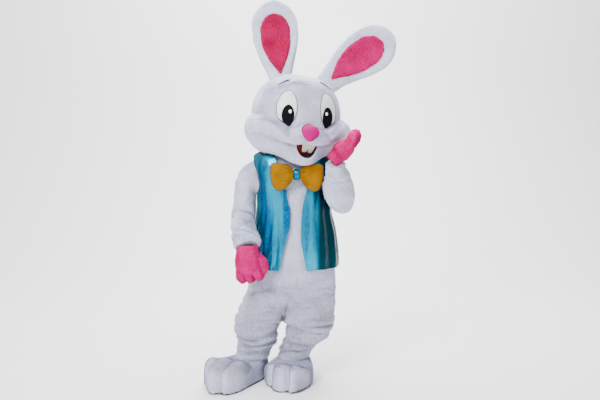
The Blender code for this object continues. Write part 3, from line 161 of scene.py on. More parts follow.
def faded(tree, source, low, high, at_low, at_high):
    """A value that goes smoothly from at_low to at_high as source goes from low to high."""
    node = added(tree, "MapRange", From_Min=low, From_Max=high, To_Min=at_low, To_Max=at_high)
    node.interpolation_type = "SMOOTHSTEP"
    tree.links.new(source, node.inputs["Value"])
    return node.outputs[0]


def reckoned(tree, operation, one, two=0.0):
    """A math node; two may be a number or another node's output."""
    node = added(tree, "Math")
    node.operation = operation
    tree.links.new(one, node.inputs[0])
    if isinstance(two, float):
        node.inputs[1].default_value = two
    else:
        tree.links.new(two, node.inputs[1])
    return node.outputs[0]


STRIP_LIGHTS = 11.0     # how many stand round the room
world = bpy.data.worlds.new("studio")
world.use_nodes = True
sky = world.node_tree
split = added(sky, "SeparateXYZ")
sky.links.new(added(sky, "TexCoord").outputs["Generated"], split.inputs[0])
upward = faded(sky, split.outputs["Z"], -0.1, 0.8, 0.66, 1.30)
sideways = faded(sky, split.outputs["X"], -0.6, 0.6, 1.35, 0.62)
round_about = reckoned(sky, "ARCTAN2", split.outputs["X"], split.outputs["Y"])
wave = reckoned(sky, "SINE", reckoned(sky, "MULTIPLY", round_about, STRIP_LIGHTS))
strips = faded(sky, wave, -0.25, 0.75, 0.72, 1.45)
brightness = reckoned(sky, "MULTIPLY", reckoned(sky, "MULTIPLY", upward, sideways), strips)
sky.nodes["Background"].inputs["Color"].default_value = (0.93, 0.95, 1.0, 1)
sky.links.new(brightness, sky.nodes["Background"].inputs["Strength"])
bpy.context.scene.world = world

LAMPS = (
    # name, where it stands, what it is turned to, width, power
    ("key", (-1.9, -3.6, 2.8), (0, 0, 0), 1.8, 380.0),
    ("fill", (3.0, -2.9, 0.6), (0, 0, 0), 1.4, 18.0),
    ("top", (0.2, -0.6, 3.4), (0, 0, 0), 1.8, 100.0),
    ("back", (0.8, 2.6, 2.6), (0, 0, 0), 1.6, 150.0),
    ("paper", (0.0, 1.3, 3.2), (0.2, 4.0, 0.4), 2.4, 340.0),
)
for name, stand, aim, width, power in LAMPS:
    lamp = bpy.data.objects.new(name, bpy.data.lights.new(name, "AREA"))
    lamp.data.energy, lamp.data.size = power, width
    lamp.location = stand
    lamp.rotation_euler = (Vector(aim) - lamp.location).to_track_quat("-Z", "Y").to_euler()
    bpy.context.scene.collection.objects.link(lamp)
print("room ready,", len(LAMPS), "lamps")

# %% [markdown]
# Every piece of this costume is a rounded form whose size changes along it. A section table
# says how: its first column is a height, an angle or a share of the length, and the others are
# sizes at that place. `read` runs a smooth line through a column, so the same table gives a
# few rings for the solids and hundreds here.

# %% Section tables
def table(columns, *rows):
    """A section table: the first column is what the others are read by."""
    names = columns.split()
    order = sorted(rows)
    return {name: np.array([row[i] for row in order], float) for i, name in enumerate(names)}


def read(tab, name, at):
    """A column of a table, read smoothly (monotone cubic) at the values `at` of its first column."""
    key = next(iter(tab))
    x, y = tab[key], tab[name]
    at = np.clip(np.asarray(at, float), x[0], x[-1])
    step = np.diff(x)
    slope = np.diff(y) / step
    lean = np.zeros_like(y)
    lean[0], lean[-1] = slope[0], slope[-1]
    inner = slope[1:] * slope[:-1] > 0
    mean = 2 * slope[1:] * slope[:-1] / np.where(inner, slope[1:] + slope[:-1], 1)
    lean[1:-1] = np.where(inner, mean, 0)
    i = np.clip(np.searchsorted(x, at, side="right") - 1, 0, len(x) - 2)
    t = (at - x[i]) / step[i]
    return (y[i] * (1 + 2 * t) * (1 - t) ** 2 + y[i + 1] * t * t * (3 - 2 * t)
            + step[i] * (lean[i] * t * (1 - t) ** 2 - lean[i + 1] * t * t * (1 - t)))


def ramp(low, high, at):
    """0 below low, 1 above high, smooth between."""
    t = np.clip((at - low) / (high - low), 0, 1)
    return t * t * (3 - 2 * t)


def bell(distance, spread):
    """1 at no distance, falling off smoothly."""
    return np.exp(-0.5 * (distance / spread) ** 2)


def unit(vectors):
    """The same directions, each one long."""
    return vectors / np.maximum(np.linalg.norm(vectors, axis=-1, keepdims=True), 1e-9)


def stack(*parts):
    """Points from their x, y and z."""
    return np.stack(np.broadcast_arrays(*parts), axis=-1)


def grid_normals(points, outward, loop=False):
    """Unit normals of a grid of points, turned to the side that the vectors `outward` point to."""
    wide = np.concatenate([points[:, -1:], points, points[:, :1]], axis=1) if loop else points
    down, along = np.gradient(wide, axis=0), np.gradient(wide, axis=1)
    normal = unit(np.cross(down, along))
    normal = normal[:, 1:-1] if loop else normal
    return normal if np.sum(normal * outward) > 0 else -normal


def wander(points, size, seed=0):
    """A smooth random value from -1 to 1 that changes over about `size` metres."""
    random = np.random.default_rng(seed)
    waves = random.normal(0, 1.9 / size, (7, 3))
    shift = random.uniform(0, 2 * np.pi, 7)
    return np.sin(points @ waves.T + shift).mean(axis=-1) * 1.6


print("tables ready")

# %% [markdown]
# Plush has two parts: a knitted backing, and a pile of fibres that leans the way it was
# brushed. Blender's hair system would not travel to other programs, so here each tuft of
# fibres is one thin triangle that leans over the backing like a shingle. Thousands of them
# hide the cloth, blur the outline and break the light, as fur does. Their lean and length
# drift slowly over the surface, which gives the soft patches that real pile has.

# %% The pile
PILE_LENGTH = 0.0115
PILE_WIDTH = 0.0033
PILE_RISE = 34.0        # degrees that a tuft stands up from the cloth
PILE_DEPTH = 0.0050     # how far the backing lies under the tips
NAP = np.array([0.0, 0.35, -1.0])
RANDOM = np.random.default_rng(7)


def scatter(points, normals, per_m2, keep=None, loop=False):
    """Random spots on a grid, evenly by area, with their normals; keep gives each cell's share."""
    if loop:
        points = np.concatenate([points, points[:, :1]], axis=1)
        normals = np.concatenate([normals, normals[:, :1]], axis=1)
    a, b, c, d = points[:-1, :-1], points[:-1, 1:], points[1:, 1:], points[1:, :-1]
    area = np.linalg.norm(np.cross(c - a, d - b), axis=-1) / 2
    if keep is not None:
        area = area * keep[:area.shape[0], :area.shape[1]]
    count = int(per_m2 * area.sum())
    cell = RANDOM.choice(area.size, count, p=area.ravel() / area.sum())
    r, k = np.unravel_index(cell, area.shape)
    u, v = RANDOM.random((2, count, 1))

    def at(grid):
        return ((1 - u) * (1 - v) * grid[r, k] + u * (1 - v) * grid[r, k + 1]
                + u * v * grid[r + 1, k + 1] + (1 - u) * v * grid[r + 1, k])

    return at(points), unit(at(normals))


def tufts(name, spots, normals, shades, nap=NAP, length=PILE_LENGTH):
    """One leaning triangle for each spot; shades are the materials that it picks from."""
    lean = unit(nap - normals * np.sum(nap * normals, axis=-1, keepdims=True))
    side = np.cross(normals, lean)
    turn = 0.7 * wander(spots, 0.05, 1) + RANDOM.normal(0, 0.30, len(spots))
    lean, side = (lean * np.cos(turn)[:, None] + side * np.sin(turn)[:, None],
                  side * np.cos(turn)[:, None] - lean * np.sin(turn)[:, None])
    up = np.radians(PILE_RISE + 9 * wander(spots, 0.03, 2) + RANDOM.normal(0, 8, len(spots)))[:, None]
    long = length * (1 + 0.18 * wander(spots, 0.04, 3) + RANDOM.normal(0, 0.12, len(spots)))[:, None]
    tip = spots + long * (lean * np.cos(up) + normals * np.sin(up))
    half = side * (PILE_WIDTH / 2)
    corners = np.stack([spots + half, spots - half, tip], axis=1) - (0, 0, SHOULDER_HEIGHT)
    count = len(spots)
    mesh = bpy.data.meshes.new(name)
    mesh.vertices.add(3 * count)
    mesh.vertices.foreach_set("co", corners.astype(np.float32).ravel())
    mesh.loops.add(3 * count)
    mesh.loops.foreach_set("vertex_index", np.arange(3 * count, dtype=np.int32))
    mesh.polygons.add(count)
    mesh.polygons.foreach_set("loop_start", np.arange(0, 3 * count, 3, dtype=np.int32))
    # painted shade: from the hips down to the boots' tops the pile picks darker shades, standing in for the
    # dimmer light on the legs
    painted_leg_shade = ramp(0.80, 0.42, spots[:, 2]) * ramp(0.09, 0.17, spots[:, 2])
    shade = 0.64 - 0.44 * painted_leg_shade + 0.16 * wander(spots, 0.06, 4) + RANDOM.normal(0, 0.20, count)
    shade = np.clip(shade * len(shades), 0, len(shades) - 1).astype(np.int32)
    mesh.polygons.foreach_set("material_index", shade)
    mesh.polygons.foreach_set("use_smooth", np.ones(count, bool))
    for surface in shades:
        mesh.materials.append(surface)
    mesh.update()
    own = unit(np.cross(corners[:, 1] - corners[:, 0], corners[:, 2] - corners[:, 0]))
    soft = unit(normals + 0.35 * own)
    mesh.normals_split_custom_set(np.repeat(soft, 3, axis=0).astype(np.float32))
    made = bpy.data.objects.new(name, mesh)
    bpy.context.scene.collection.objects.link(made)
    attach(made, "root")
    print(name, count, "tufts")
    return made


WHITE_SHADES = [
    # the darkest shade is painted shade, picked mostly on the legs
    shader_of("pile_dull", (0.35, 0.35, 0.43), 0.95, Sheen_Weight=0.10),
    shader_of("pile_shaded", (0.50, 0.50, 0.66), 0.95, Sheen_Weight=0.15),
    shader_of("pile_cool", (0.62, 0.63, 0.81), 0.95, Sheen_Weight=0.15),
    shader_of("pile_white", (0.71, 0.73, 0.90), 0.92, Sheen_Weight=0.15),
    shader_of("pile_tips", (0.80, 0.82, 0.95), 0.90, Sheen_Weight=0.15),
]


def dyed_pile(word, gloss, deep, middle, tips):
    """Three shades of one dyed colour: down in the pile, in its middle and at its tips."""
    return [shader_of(f"{word}_deep", deep, 0.95, Specular_IOR_Level=gloss),
            shader_of(word, middle, 0.92, Specular_IOR_Level=gloss),
            shader_of(f"{word}_tips", tips, 0.90, Specular_IOR_Level=gloss)]


PINK_SHADES = dyed_pile("pink_pile", 0.15, (0.44, 0.0, 0.080), (0.60, 0.0, 0.150), (0.74, 0.002, 0.240))
# painted shade: both ear linings are one pink plush; the wearer's right ear, which turns from the light, gets
# a deeper crimson copy of it, and the left ear a lighter, lit copy
EAR_SHADES = {
    "right": dyed_pile("crimson_pile", 0.1, (0.22, 0.0, 0.020), (0.34, 0.0, 0.045), (0.46, 0.002, 0.090)),
    "left": dyed_pile("rose_pile", 0.1, (0.32, 0.0, 0.045), (0.46, 0.0, 0.095), (0.60, 0.002, 0.165)),
}

# %% [markdown]
# Under the pile is the backing. Its knit shows only where the tufts part, so a small voronoi
# pattern in its colour and relief is enough. The same recipe, with other colours and sizes,
# serves for the felt, the sheet plastic and the rubber of the smaller pieces, so it is one
# function: a noise for slow changes of colour, and a finer texture for relief.

# %% A material with a grain
def two_tones(tree, low, dark, high, light):
    """A ramp from a dark colour at low to a light one at high."""
    node = added(tree, "ValToRGB")
    for end, position, colour in zip(node.color_ramp.elements, (low, high), (dark, light)):
        end.position, end.color = position, (*colour, 1)
    return node


def grained(name, dark, light, roughness, grain=400.0, relief=0.25, drift=9.0, cells=False, **sockets):
    """Colour that drifts between two tones, with a fine relief on top."""
    made = shader_of(name, light, roughness, **sockets)
    tree = made.node_tree
    shader = tree.nodes["Principled BSDF"]
    place = added(tree, "TexCoord").outputs["Object"]
    slow = added(tree, "TexNoise", Scale=drift, Detail=5)
    tones = two_tones(tree, 0.32, dark, 0.68, light)
    fine = added(tree, "TexVoronoi" if cells else "TexNoise", Scale=grain)
    bump = added(tree, "Bump", Strength=relief, Distance=0.001)
    for source, socket in ((place, slow.inputs["Vector"]), (place, fine.inputs["Vector"]),
                           (slow.outputs["Fac"], tones.inputs["Fac"]),
                           (tones.outputs["Color"], shader.inputs["Base Color"]),
                           (fine.outputs["Distance" if cells else "Fac"], bump.inputs["Height"]),
                           (bump.outputs["Normal"], shader.inputs["Normal"])):
        tree.links.new(source, socket)
    return made


backing = grained("white_backing", (0.48, 0.48, 0.60), (0.64, 0.64, 0.74), 0.95, cells=True)
pink_backing = grained("pink_backing", (0.36, 0.0, 0.045), (0.52, 0.0, 0.10), 0.95, cells=True)
print("grained surfaces ready")

# %% [markdown]
# A plush panel is cut from flat cloth, sewn to its neighbours with the seam allowance turned
# in, and pulled over foam or hung on the wearer. So each one here is a grid of points on the
# solid's outside, set in by the depth of the pile. It dips along its seams, where the stitches
# draw the pile down, and shallow creases wander over it, unevenly, as they do on a suit that
# has been sat in. Tufts are then scattered over it by area.

# %% Sew a plush panel
SEAM_DIP = 0.0030
SEAM_SPREAD = 0.0050
CLOTH_THICKNESS = 0.0022
PER_M2 = 118000


def along_grid(points, axis):
    """Distance walked along the rows (axis 0) or the columns (axis 1) of a grid."""
    steps = np.linalg.norm(np.diff(points, axis=axis), axis=-1)
    start = np.zeros_like(np.take(steps, [0], axis=axis))
    return np.concatenate([start, np.cumsum(steps, axis=axis)], axis=axis)


def from_edges(points):
    """How far over the cloth each point of a grid is from its top, bottom, left and right edge."""
    down, across = along_grid(points, 0), along_grid(points, 1)
    return {"top": down, "bottom": down[-1:] - down, "left": across, "right": across[:, -1:] - across}


def seam_dip(points, edges):
    """How far the cloth sinks near the edges that are sewn: any of top, bottom, left and right."""
    away = from_edges(points)
    return sum((SEAM_DIP * bell(away[edge], SEAM_SPREAD) for edge in edges), 0 * away["top"])


def creases(points, depth, size, seed, stretch=(1.0, 1.0, 2.6)):
    """Shallow creases that wander over the cloth, longer across than up and down."""
    spot = points * np.array(stretch) / size
    drift = wander(spot, 1.0, seed)
    line = np.exp(-0.5 * (drift / 0.16) ** 2)
    patch = ramp(-0.1, 0.5, wander(spot, 2.2, seed + 50))
    return -depth * line * patch


def thinned(grid, every, loop):
    """Every n-th row and column of a grid, always with its last row and its free edges."""
    rows = [*range(0, grid.shape[0] - 1, every), grid.shape[0] - 1]
    columns = [*range(0, grid.shape[1], every)] if loop else [*range(0, grid.shape[1] - 1, every),
                                                              grid.shape[1] - 1]
    return grid[np.ix_(rows, columns)]


def sewn(name, points, normals, node, surface, thickness=CLOTH_THICKNESS, loop=False, every=2):
    """A piece of cloth over a grid of points, thickened inward, standing for its solid.

    The pile hides a plush cloth's small forms, so its mesh keeps only every second line of the grid.
    """
    points, normals = thinned(points, every, loop), thinned(normals, every, loop)
    faces = np.array(grid_faces(*points.shape[:2], loop))
    flat, out = points.reshape(-1, 3), normals.reshape(-1, 3)
    a, b, c = (flat[faces[:, i]] for i in (0, 1, 2))
    if np.sum(np.cross(b - a, c - a) * out[faces[:, 0]]) < 0:
        faces = faces[:, ::-1]
    made = mesh_object(name, flat - (0, 0, SHOULDER_HEIGHT), faces.tolist(), surface)
    put_right(made, join=1e-5, outward=False)
    wall = made.modifiers.new("thickness", "SOLIDIFY")
    wall.thickness, wall.offset = thickness, -1
    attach(made, "root")
    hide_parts(*([node] if isinstance(node, str) else node))
    return made


def plush(name, node, points, outward, seams=(), loop=False, crease=(0.002, 0.05), seed=0,
          keep=None, per_m2=PER_M2, nap=NAP, shades=None, extra=0.0, surface=None,
          length=PILE_LENGTH):
    """A panel with its pile: the cloth and the tufts on it."""
    normals = grid_normals(points, outward, loop)
    push = creases(points, crease[0], crease[1], seed) - seam_dip(points, seams) + extra
    base = points + normals * (push - PILE_DEPTH)[..., None]
    normals = grid_normals(base, outward, loop)
    piece = sewn(name, base, normals, node, surface or backing, loop=loop)
    spots, out = scatter(base, normals, per_m2, keep, loop)
    fur = tufts(f"{name}_pile", spots, out, shades or WHITE_SHADES, nap=nap, length=length)
    return piece


def uneven_folds(count, levels, seed, depth, width, length):
    """Folds at random places: level, angle, tilt, how far round they run, depth and half width."""
    random = np.random.default_rng(seed)
    return [(random.uniform(*levels), random.uniform(-180, 180), random.normal(0, 2.2) * width[1],
             random.uniform(*length), random.uniform(*depth), random.uniform(*width)) for _ in range(count)]


def fold_push(folds, level, around):
    """Troughs with a soft roll of cloth above each, at a level along a limb and an angle round it."""
    push = 0 * level
    for at, angle, tilt, length, depth, width in folds:
        off = (around - angle + 180) % 360 - 180
        up = level - at - tilt * off / length
        trough = bell(up, width) - 0.6 * bell(up - 2.0 * width, 1.2 * width)
        push = push - depth * bell(off, length / 2) * trough
    return push


# %% [markdown]
# The head is a shell of foam covered with five plush panels: a crown down to a seam that runs
# over the cheeks and under the eyes, the cheeks and muzzle above the smile, the jaw and chin
# below it, and two back panels that meet behind. A point on it is found from two angles, round
# from the middle of the face and up from level, so the eyes, brows and nose can be laid on it
# with the same function, moved out a little. It is tilted a few degrees and turned to one side,
# as if it looked at whoever is in front.

# %% The head's form
HEAD_CENTRE = np.array([0.020, -0.030, 1.530])
HEAD_ROLL = 4.0
HEAD_YAW = 17.0
SKULL = {"side": 0.251, "front": 0.250, "back": 0.258, "up": 0.246, "down": 0.235}
SQUARENESS = 2.3        # 2 would make the bare skull an ellipsoid
BACK_SEAM = 112.0       # where the face's band meets the back panels
# Padding under the plush: where it swells, how far it reaches and how wide it spreads (degrees)
PADS = (
    # azimuth elevation reach azimuth_spread elevation_spread
    (68.0, -13.0, 0.060, 23.0, 12.0),     # cheeks
    (97.0, -33.0, 0.032, 42.0, 16.0),     # jowls
    (17.0, -17.0, 0.058, 18.0, 10.0),     # muzzle, either side of the nose
    (0.0, -47.0, 0.085, 24.0, 10.0),      # chin
)
# The seam above the cheeks, over the nose's bridge and under the eyes
CHEEK_SEAM = table("azimuth elevation", (0, -6.5), (6, -7.0), (14, -10.5), (22, -12.2), (30, -8.0),
                   (37, -3.5), (47, 1.5), (60, 4.0), (98, 4.0), (112, 3.5), (180, 2.5))
# The smile: the muzzle's lower edge, running out under the cheeks
SMILE = table("azimuth elevation depth", (0, -28.6, 0.004), (14, -30.0, 0.010), (23, -28.0, 0.013),
              (34, -26.0, 0.012), (42, -23.0, 0.010), (50, -19.0, 0.006), (58, -17.0, 0.0), (112, -16.0, 0.0))
# The open edge at the neck, level with the shoulders although the head is tilted
NECK_EDGE = table("azimuth elevation", (-180, -45), (-112, -47.5), (-75, -48.5), (-35, -54), (0, -57),
                  (35, -53), (75, -44), (112, -42), (180, -45))
# The open mouth: its middle and half width round the face, and how far the lower lip drops
MOUTH_MIDDLE = 1.5
MOUTH_REACH = 16.0
MOUTH_DROP = 12.5


def turned(points, pitch, roll, yaw):
    """Points turned by degrees about X, then Y, then Z."""
    cx, sx = math.cos(math.radians(pitch)), math.sin(math.radians(pitch))
    cy, sy = math.cos(math.radians(roll)), math.sin(math.radians(roll))
    cz, sz = math.cos(math.radians(yaw)), math.sin(math.radians(yaw))
    about_x = np.array([[1, 0, 0], [0, cx, -sx], [0, sx, cx]])
    about_y = np.array([[cy, 0, sy], [0, 1, 0], [-sy, 0, cy]])
    about_z = np.array([[cz, -sz, 0], [sz, cz, 0], [0, 0, 1]])
    return points @ (about_z @ about_y @ about_x).T


def smile_step(azimuth, elevation):
    """The crease of the smile, and the lower lip set back behind the upper one."""
    away = elevation - read(SMILE, "elevation", np.abs(azimuth))
    depth = read(SMILE, "depth", np.abs(azimuth))
    return depth * (bell(away, 2.2) + 0.9 * ramp(0.4, -0.4, away) * bell(away, 9.0))


def head_radius(azimuth, elevation):
    """Distance from the head's centre to the plush, by degrees from the face's middle and from level."""
    az, el = np.radians(azimuth), np.radians(elevation)
    ahead = np.where(np.cos(az) > 0, SKULL["front"], SKULL["back"])
    height = np.where(el > 0, SKULL["up"], SKULL["down"])
    side = np.abs(np.cos(el) * np.sin(az) / SKULL["side"]) ** SQUARENESS
    fore = np.abs(np.cos(el) * np.cos(az) / ahead) ** SQUARENESS
    rise = np.abs(np.sin(el) / height) ** SQUARENESS
    radius = (side + fore + rise) ** (-1 / SQUARENESS)
    below_seam = ramp(0, 8, read(CHEEK_SEAM, "elevation", np.abs(azimuth)) - elevation)
    swell = 0
    for pad_az, pad_el, reach, az_spread, el_spread in PADS:
        off = np.abs(np.abs(azimuth) - pad_az)
        swell = swell + reach * bell(off, az_spread) * bell(elevation - pad_el, el_spread)
    return radius + swell * below_seam - smile_step(azimuth, elevation) * (np.abs(azimuth) < 112)


def head_frame(points):
    """From the head's own axes to the costume's."""
    return turned(points, 0, HEAD_ROLL, HEAD_YAW) + HEAD_CENTRE


def head_point(azimuth, elevation, out=0.0):
    """A point on the head's plush, or `out` metres off it."""
    az, el = np.radians(azimuth), np.radians(elevation)
    r = head_radius(azimuth, elevation) + out
    return head_frame(stack(r * np.cos(el) * np.sin(az), -r * np.cos(el) * np.cos(az), r * np.sin(el)))


def lower_lip(azimuth):
    """The jaw's upper edge: the smile, and below it the open mouth."""
    inside = np.clip(1 - ((azimuth - MOUTH_MIDDLE) / MOUTH_REACH) ** 2, 0, 1)
    return read(SMILE, "elevation", np.abs(azimuth)) - MOUTH_DROP * inside ** 0.7


EYE = {"azimuth": 28.0, "elevation": 10.8, "half_width": 12.8, "half_height": 22.2, "thickness": 0.0025}
PUPIL = {"azimuth": 25.8, "elevation": 1.8, "half_width": 7.6, "half_height": 13.2, "thickness": 0.0020}
GLINT = {"azimuth": 23.4, "elevation": 7.0, "half_width": 1.8, "half_height": 2.0, "thickness": 0.0015}
BROW = table("along azimuth elevation half_width", (0, 32, 52.0, 0.7), (0.3, 37, 50.0, 1.3),
             (0.7, 43, 45.5, 1.0), (1, 49, 40.0, 0.4))
# The nose: its front stands on a radius of its own, as far out as the muzzle beside it
NOSE = {"elevation": -14.9, "half_width": 0.053, "half_height": 0.044, "reach": 0.024, "edge": 0.010,
        "beside": 10.0, "narrowing": 0.36, "degrees_per_metre": math.degrees(1 / 0.31)}


def nose_faces(around, rings, rest):
    """The nose's front and back: a rounded triangle, point down, domed over the muzzle."""
    angle = np.linspace(0, 2 * np.pi, around, endpoint=False)
    share = np.linspace(0, 1, rings)[:, None]
    taper = 1 - NOSE["narrowing"] * ramp(0.5, -1.0, np.sin(angle))
    size = NOSE["degrees_per_metre"]
    az = NOSE["half_width"] * size * share * np.cos(angle) * taper
    el = NOSE["elevation"] + NOSE["half_height"] * size * share * np.sin(angle)
    dome = NOSE["reach"] * np.sqrt(np.clip(1 - share ** 2.4, 0, 1))
    level = head_radius(NOSE["beside"], NOSE["elevation"]) - head_radius(az, el)
    front = head_point(az, el, NOSE["edge"] + np.maximum(level, 0) + dome)
    return front, head_point(az, el, rest)


def outside_eye(az, el, margin=1.0):
    """1 where the plush is clear of the eyes, 0 under them."""
    across = (np.abs(az) - EYE["azimuth"]) / (EYE["half_width"] + margin)
    up = (el - EYE["elevation"]) / (EYE["half_height"] + margin)
    under = (across ** 2 + up ** 2 < 1) & (el > read(CHEEK_SEAM, "elevation", np.abs(az)) + 0.8)
    return np.where(under, 0.0, 1.0)


def head_grid(azimuths, tops, bottoms, rows):
    """Angles of a panel between two lines of elevation."""
    share = np.linspace(0, 1, rows)[:, None]
    return np.broadcast_to(azimuths, (rows, len(azimuths))), tops + (bottoms - tops) * share


SEAM_ANGLE = 0.08

turn = np.linspace(-180, 180, 240, endpoint=False)
seam = read(CHEEK_SEAM, "elevation", np.abs(turn))
az, el = head_grid(turn, np.full_like(turn, 89.9), seam + SEAM_ANGLE, 110)
crown = head_point(az, el)
plush("crown_cloth", ["head_crown_right", "head_crown_left"], crown, crown - HEAD_CENTRE,
      seams=("bottom",), loop=True, crease=(0.0006, 0.09), seed=11, keep=outside_eye(az, el),
      nap=np.array([0.0, 0.5, -0.8]))

turn = np.linspace(-BACK_SEAM + SEAM_ANGLE, BACK_SEAM - SEAM_ANGLE, 200)
lip = read(SMILE, "elevation", np.abs(turn))
az, el = head_grid(turn, read(CHEEK_SEAM, "elevation", np.abs(turn)) - SEAM_ANGLE, lip + SEAM_ANGLE, 64)
cheeks = head_point(az, el)
plush("cheeks_cloth", ["head_cheeks_right", "head_cheeks_left"], cheeks, cheeks - HEAD_CENTRE,
      seams=("top", "bottom", "left", "right"), crease=(0.0008, 0.07), seed=12)

az, el = head_grid(turn, lower_lip(turn) - SEAM_ANGLE, read(NECK_EDGE, "elevation", turn), 64)
jaw = head_point(az, el)
plush("jaw_cloth", "head_jaw", jaw, jaw - HEAD_CENTRE, seams=("top", "left", "right"),
      crease=(0.0008, 0.07), seed=13)

for side, word in ((-1, "right"), (1, "left")):
    turn = np.sort(side * np.linspace(BACK_SEAM + SEAM_ANGLE, 180 - SEAM_ANGLE, 60))
    az, el = head_grid(turn, read(CHEEK_SEAM, "elevation", np.abs(turn)) - SEAM_ANGLE,
                       read(NECK_EDGE, "elevation", turn), 64)
    back = head_point(az, el)
    plush(f"back_{word}_cloth", f"head_back_{word}", back, back - HEAD_CENTRE,
          seams=("top", "left", "right"), crease=(0.0014, 0.07), seed=14)
print("head sewn")

# %% [markdown]
# Eyes on a costume head are flat shapes of sheet vinyl or felt glued to the plush, white, then
# a black pupil, then a small highlight. A thin dark line round the white keeps it from
# melting into the white plush. The layers are plates built from ovals on the head's surface.
# The brows are strips of felt. The nose is a stuffed satin-smooth shape, glossier than the rest.

# %% Plates for the eyes
PLATE_REST = 0.0012     # how far the eyes' first layer lies off the plush
PLATE_GAP = 0.0006      # between one layer and the next


def disc(shape, side, out, around, rings, clip):
    """Front and back rings of an oval plate lying on the head's crown, cut off by the cheek's seam."""
    angle = np.linspace(0, 2 * np.pi, around, endpoint=False)
    share = np.linspace(0, 1, rings)[:, None]
    narrow = 1 - 0.10 * ramp(0.2, -1.0, np.sin(angle))
    az = shape["azimuth"] + shape["half_width"] * share * np.cos(angle) * narrow
    el = shape["elevation"] + shape["half_height"] * share * np.sin(angle)
    el = np.maximum(el, read(CHEEK_SEAM, "elevation", np.abs(az)) + clip)
    back = head_point(side * az, el, out)
    front = head_point(side * az, el, out + shape["thickness"])
    return front, back


def layer(name, front, back, surface, node):
    """A thin plate of rings round a middle point, front and back."""
    rings, around = front.shape[:2]
    points = np.concatenate([side[1:].reshape(-1, 3) for side in (front, back)])
    half = (rings - 1) * around
    points = np.concatenate([points, front[0].mean(axis=0)[None], back[0].mean(axis=0)[None]])
    faces = []
    for offset, middle, way in ((0, 2 * half, 1), (half, 2 * half + 1, -1)):
        for c in range(around):
            d = (c + 1) % around
            faces.append((middle, offset + c, offset + d)[::way])
        for r in range(rings - 2):
            a, b = offset + r * around, offset + (r + 1) * around
            for c in range(around):
                d = (c + 1) % around
                faces.append((a + c, b + c, b + d, a + d)[::way])
    rim = (rings - 2) * around
    for c in range(around):
        d = (c + 1) % around
        faces.append((rim + c, half + rim + c, half + rim + d, rim + d))
    made = mesh_object(name, points - (0, 0, SHOULDER_HEIGHT), faces, surface)
    put_right(made)
    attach(made, "root")
    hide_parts(node)
    print(name, len(faces), "faces")
    return made


eye_vinyl = grained("eye_vinyl", (0.60, 0.64, 0.63), (0.70, 0.74, 0.73), 0.42, grain=900, relief=0.08,
                    drift=14)
pupil_vinyl = grained("pupil_vinyl", (0.001, 0.001, 0.002), (0.003, 0.003, 0.005), 0.55, grain=900,
                      relief=0.05, Specular_IOR_Level=0.06)
glint_vinyl = grained("glint_vinyl", (0.90, 0.91, 0.92), (0.96, 0.96, 0.97), 0.35, grain=900, relief=0.05)
outline_ink = grained("outline_ink", (0.015, 0.02, 0.035), (0.04, 0.05, 0.07), 0.5, grain=700, relief=0.10)
brow_felt = grained("brow_felt", (0.010, 0.012, 0.030), (0.025, 0.030, 0.060), 0.9, grain=900, relief=0.5,
                    Sheen_Weight=0.3)


def tube(name, line, radius, surface, closed=True, sides=8):
    """A round cord along a line of points."""
    line = np.asarray(line)
    ahead = np.roll(line, -1, axis=0) - np.roll(line, 1, axis=0)
    if not closed:
        ahead[0], ahead[-1] = line[1] - line[0], line[-1] - line[-2]
    ahead = unit(ahead)
    one = unit(np.cross(ahead, np.array([0.13, -0.2, 1.0])))
    two = np.cross(ahead, one)
    angle = np.linspace(0, 2 * np.pi, sides, endpoint=False)
    size = np.broadcast_to(radius, len(line))[:, None, None]
    ring = line[:, None] + size * (np.cos(angle)[None, :, None] * one[:, None] + np.sin(angle)[None, :, None]
                                   * two[:, None])
    rows = np.concatenate([ring, ring[:1]]) if closed else ring
    faces = grid_faces(len(rows), sides, loop=True)
    if not closed:
        faces += [list(range(sides))[::-1], list(range((len(rows) - 1) * sides, len(rows) * sides))]
    made = mesh_object(name, rows.reshape(-1, 3) - (0, 0, SHOULDER_HEIGHT), faces, surface)
    put_right(made, join=1e-6)
    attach(made, "root")
    return made


for side, word in ((-1, "right"), (1, "left")):
    rest = PLATE_REST
    for name, shape, surface, slot, clip in (("eye", EYE, eye_vinyl, "eye_white", 1.2),
                                             ("pupil", PUPIL, pupil_vinyl, "black_vinyl", 1.7),
                                             ("glint", GLINT, glint_vinyl, "white_vinyl", 2.2)):
        front, back = disc(shape, side, rest, 72, 12, clip)
        layer(f"{name}_{word}_vinyl", front, back, surface, f"{name}_{word}")
        if name == "eye":
            tube(f"eye_{word}_outline", front[-1], 0.0016, outline_ink)
        rest += shape["thickness"] + PLATE_GAP

along = np.linspace(0, 1, 60)
for side, word in ((-1, "right"), (1, "left")):
    line = head_point(side * read(BROW, "azimuth", along), read(BROW, "elevation", along), 0.0025)
    wide = np.radians(read(BROW, "half_width", along)) * 0.25
    brow = tube(f"brow_{word}_felt", line, np.maximum(wide * 0.75, 0.0015), brow_felt,
                closed=False)
    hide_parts(f"brow_{word}")
print("eyes and brows on")

# %% [markdown]
# The nose is a stuffed, tightly covered dome in the shape of a rounded triangle, smooth
# rather than furry, so it takes a soft highlight. It stands on the muzzle with its edge a
# little buried in the pile. The mouth's lining and the two teeth keep their solid shapes, as
# they are stiff, and get a worn enamel and a matt cloth.

# %% Nose, teeth and mouth
nose_cloth = grained("nose_cloth", (0.34, 0.0, 0.110), (0.46, 0.0, 0.170), 0.50, grain=700, relief=0.12,
                     drift=18, Specular_IOR_Level=0.08)
nose_front, nose_back = nose_faces(around=96, rings=22, rest=0.004)
nose = layer("nose_stuffed", nose_front, nose_back, nose_cloth, "nose")


def refinish(node, surface):
    """Give a node of the solid model a better material in its own slot."""
    for place in bpy.data.objects[node].material_slots:
        place.material = surface
    print(node, "is now", surface.name)


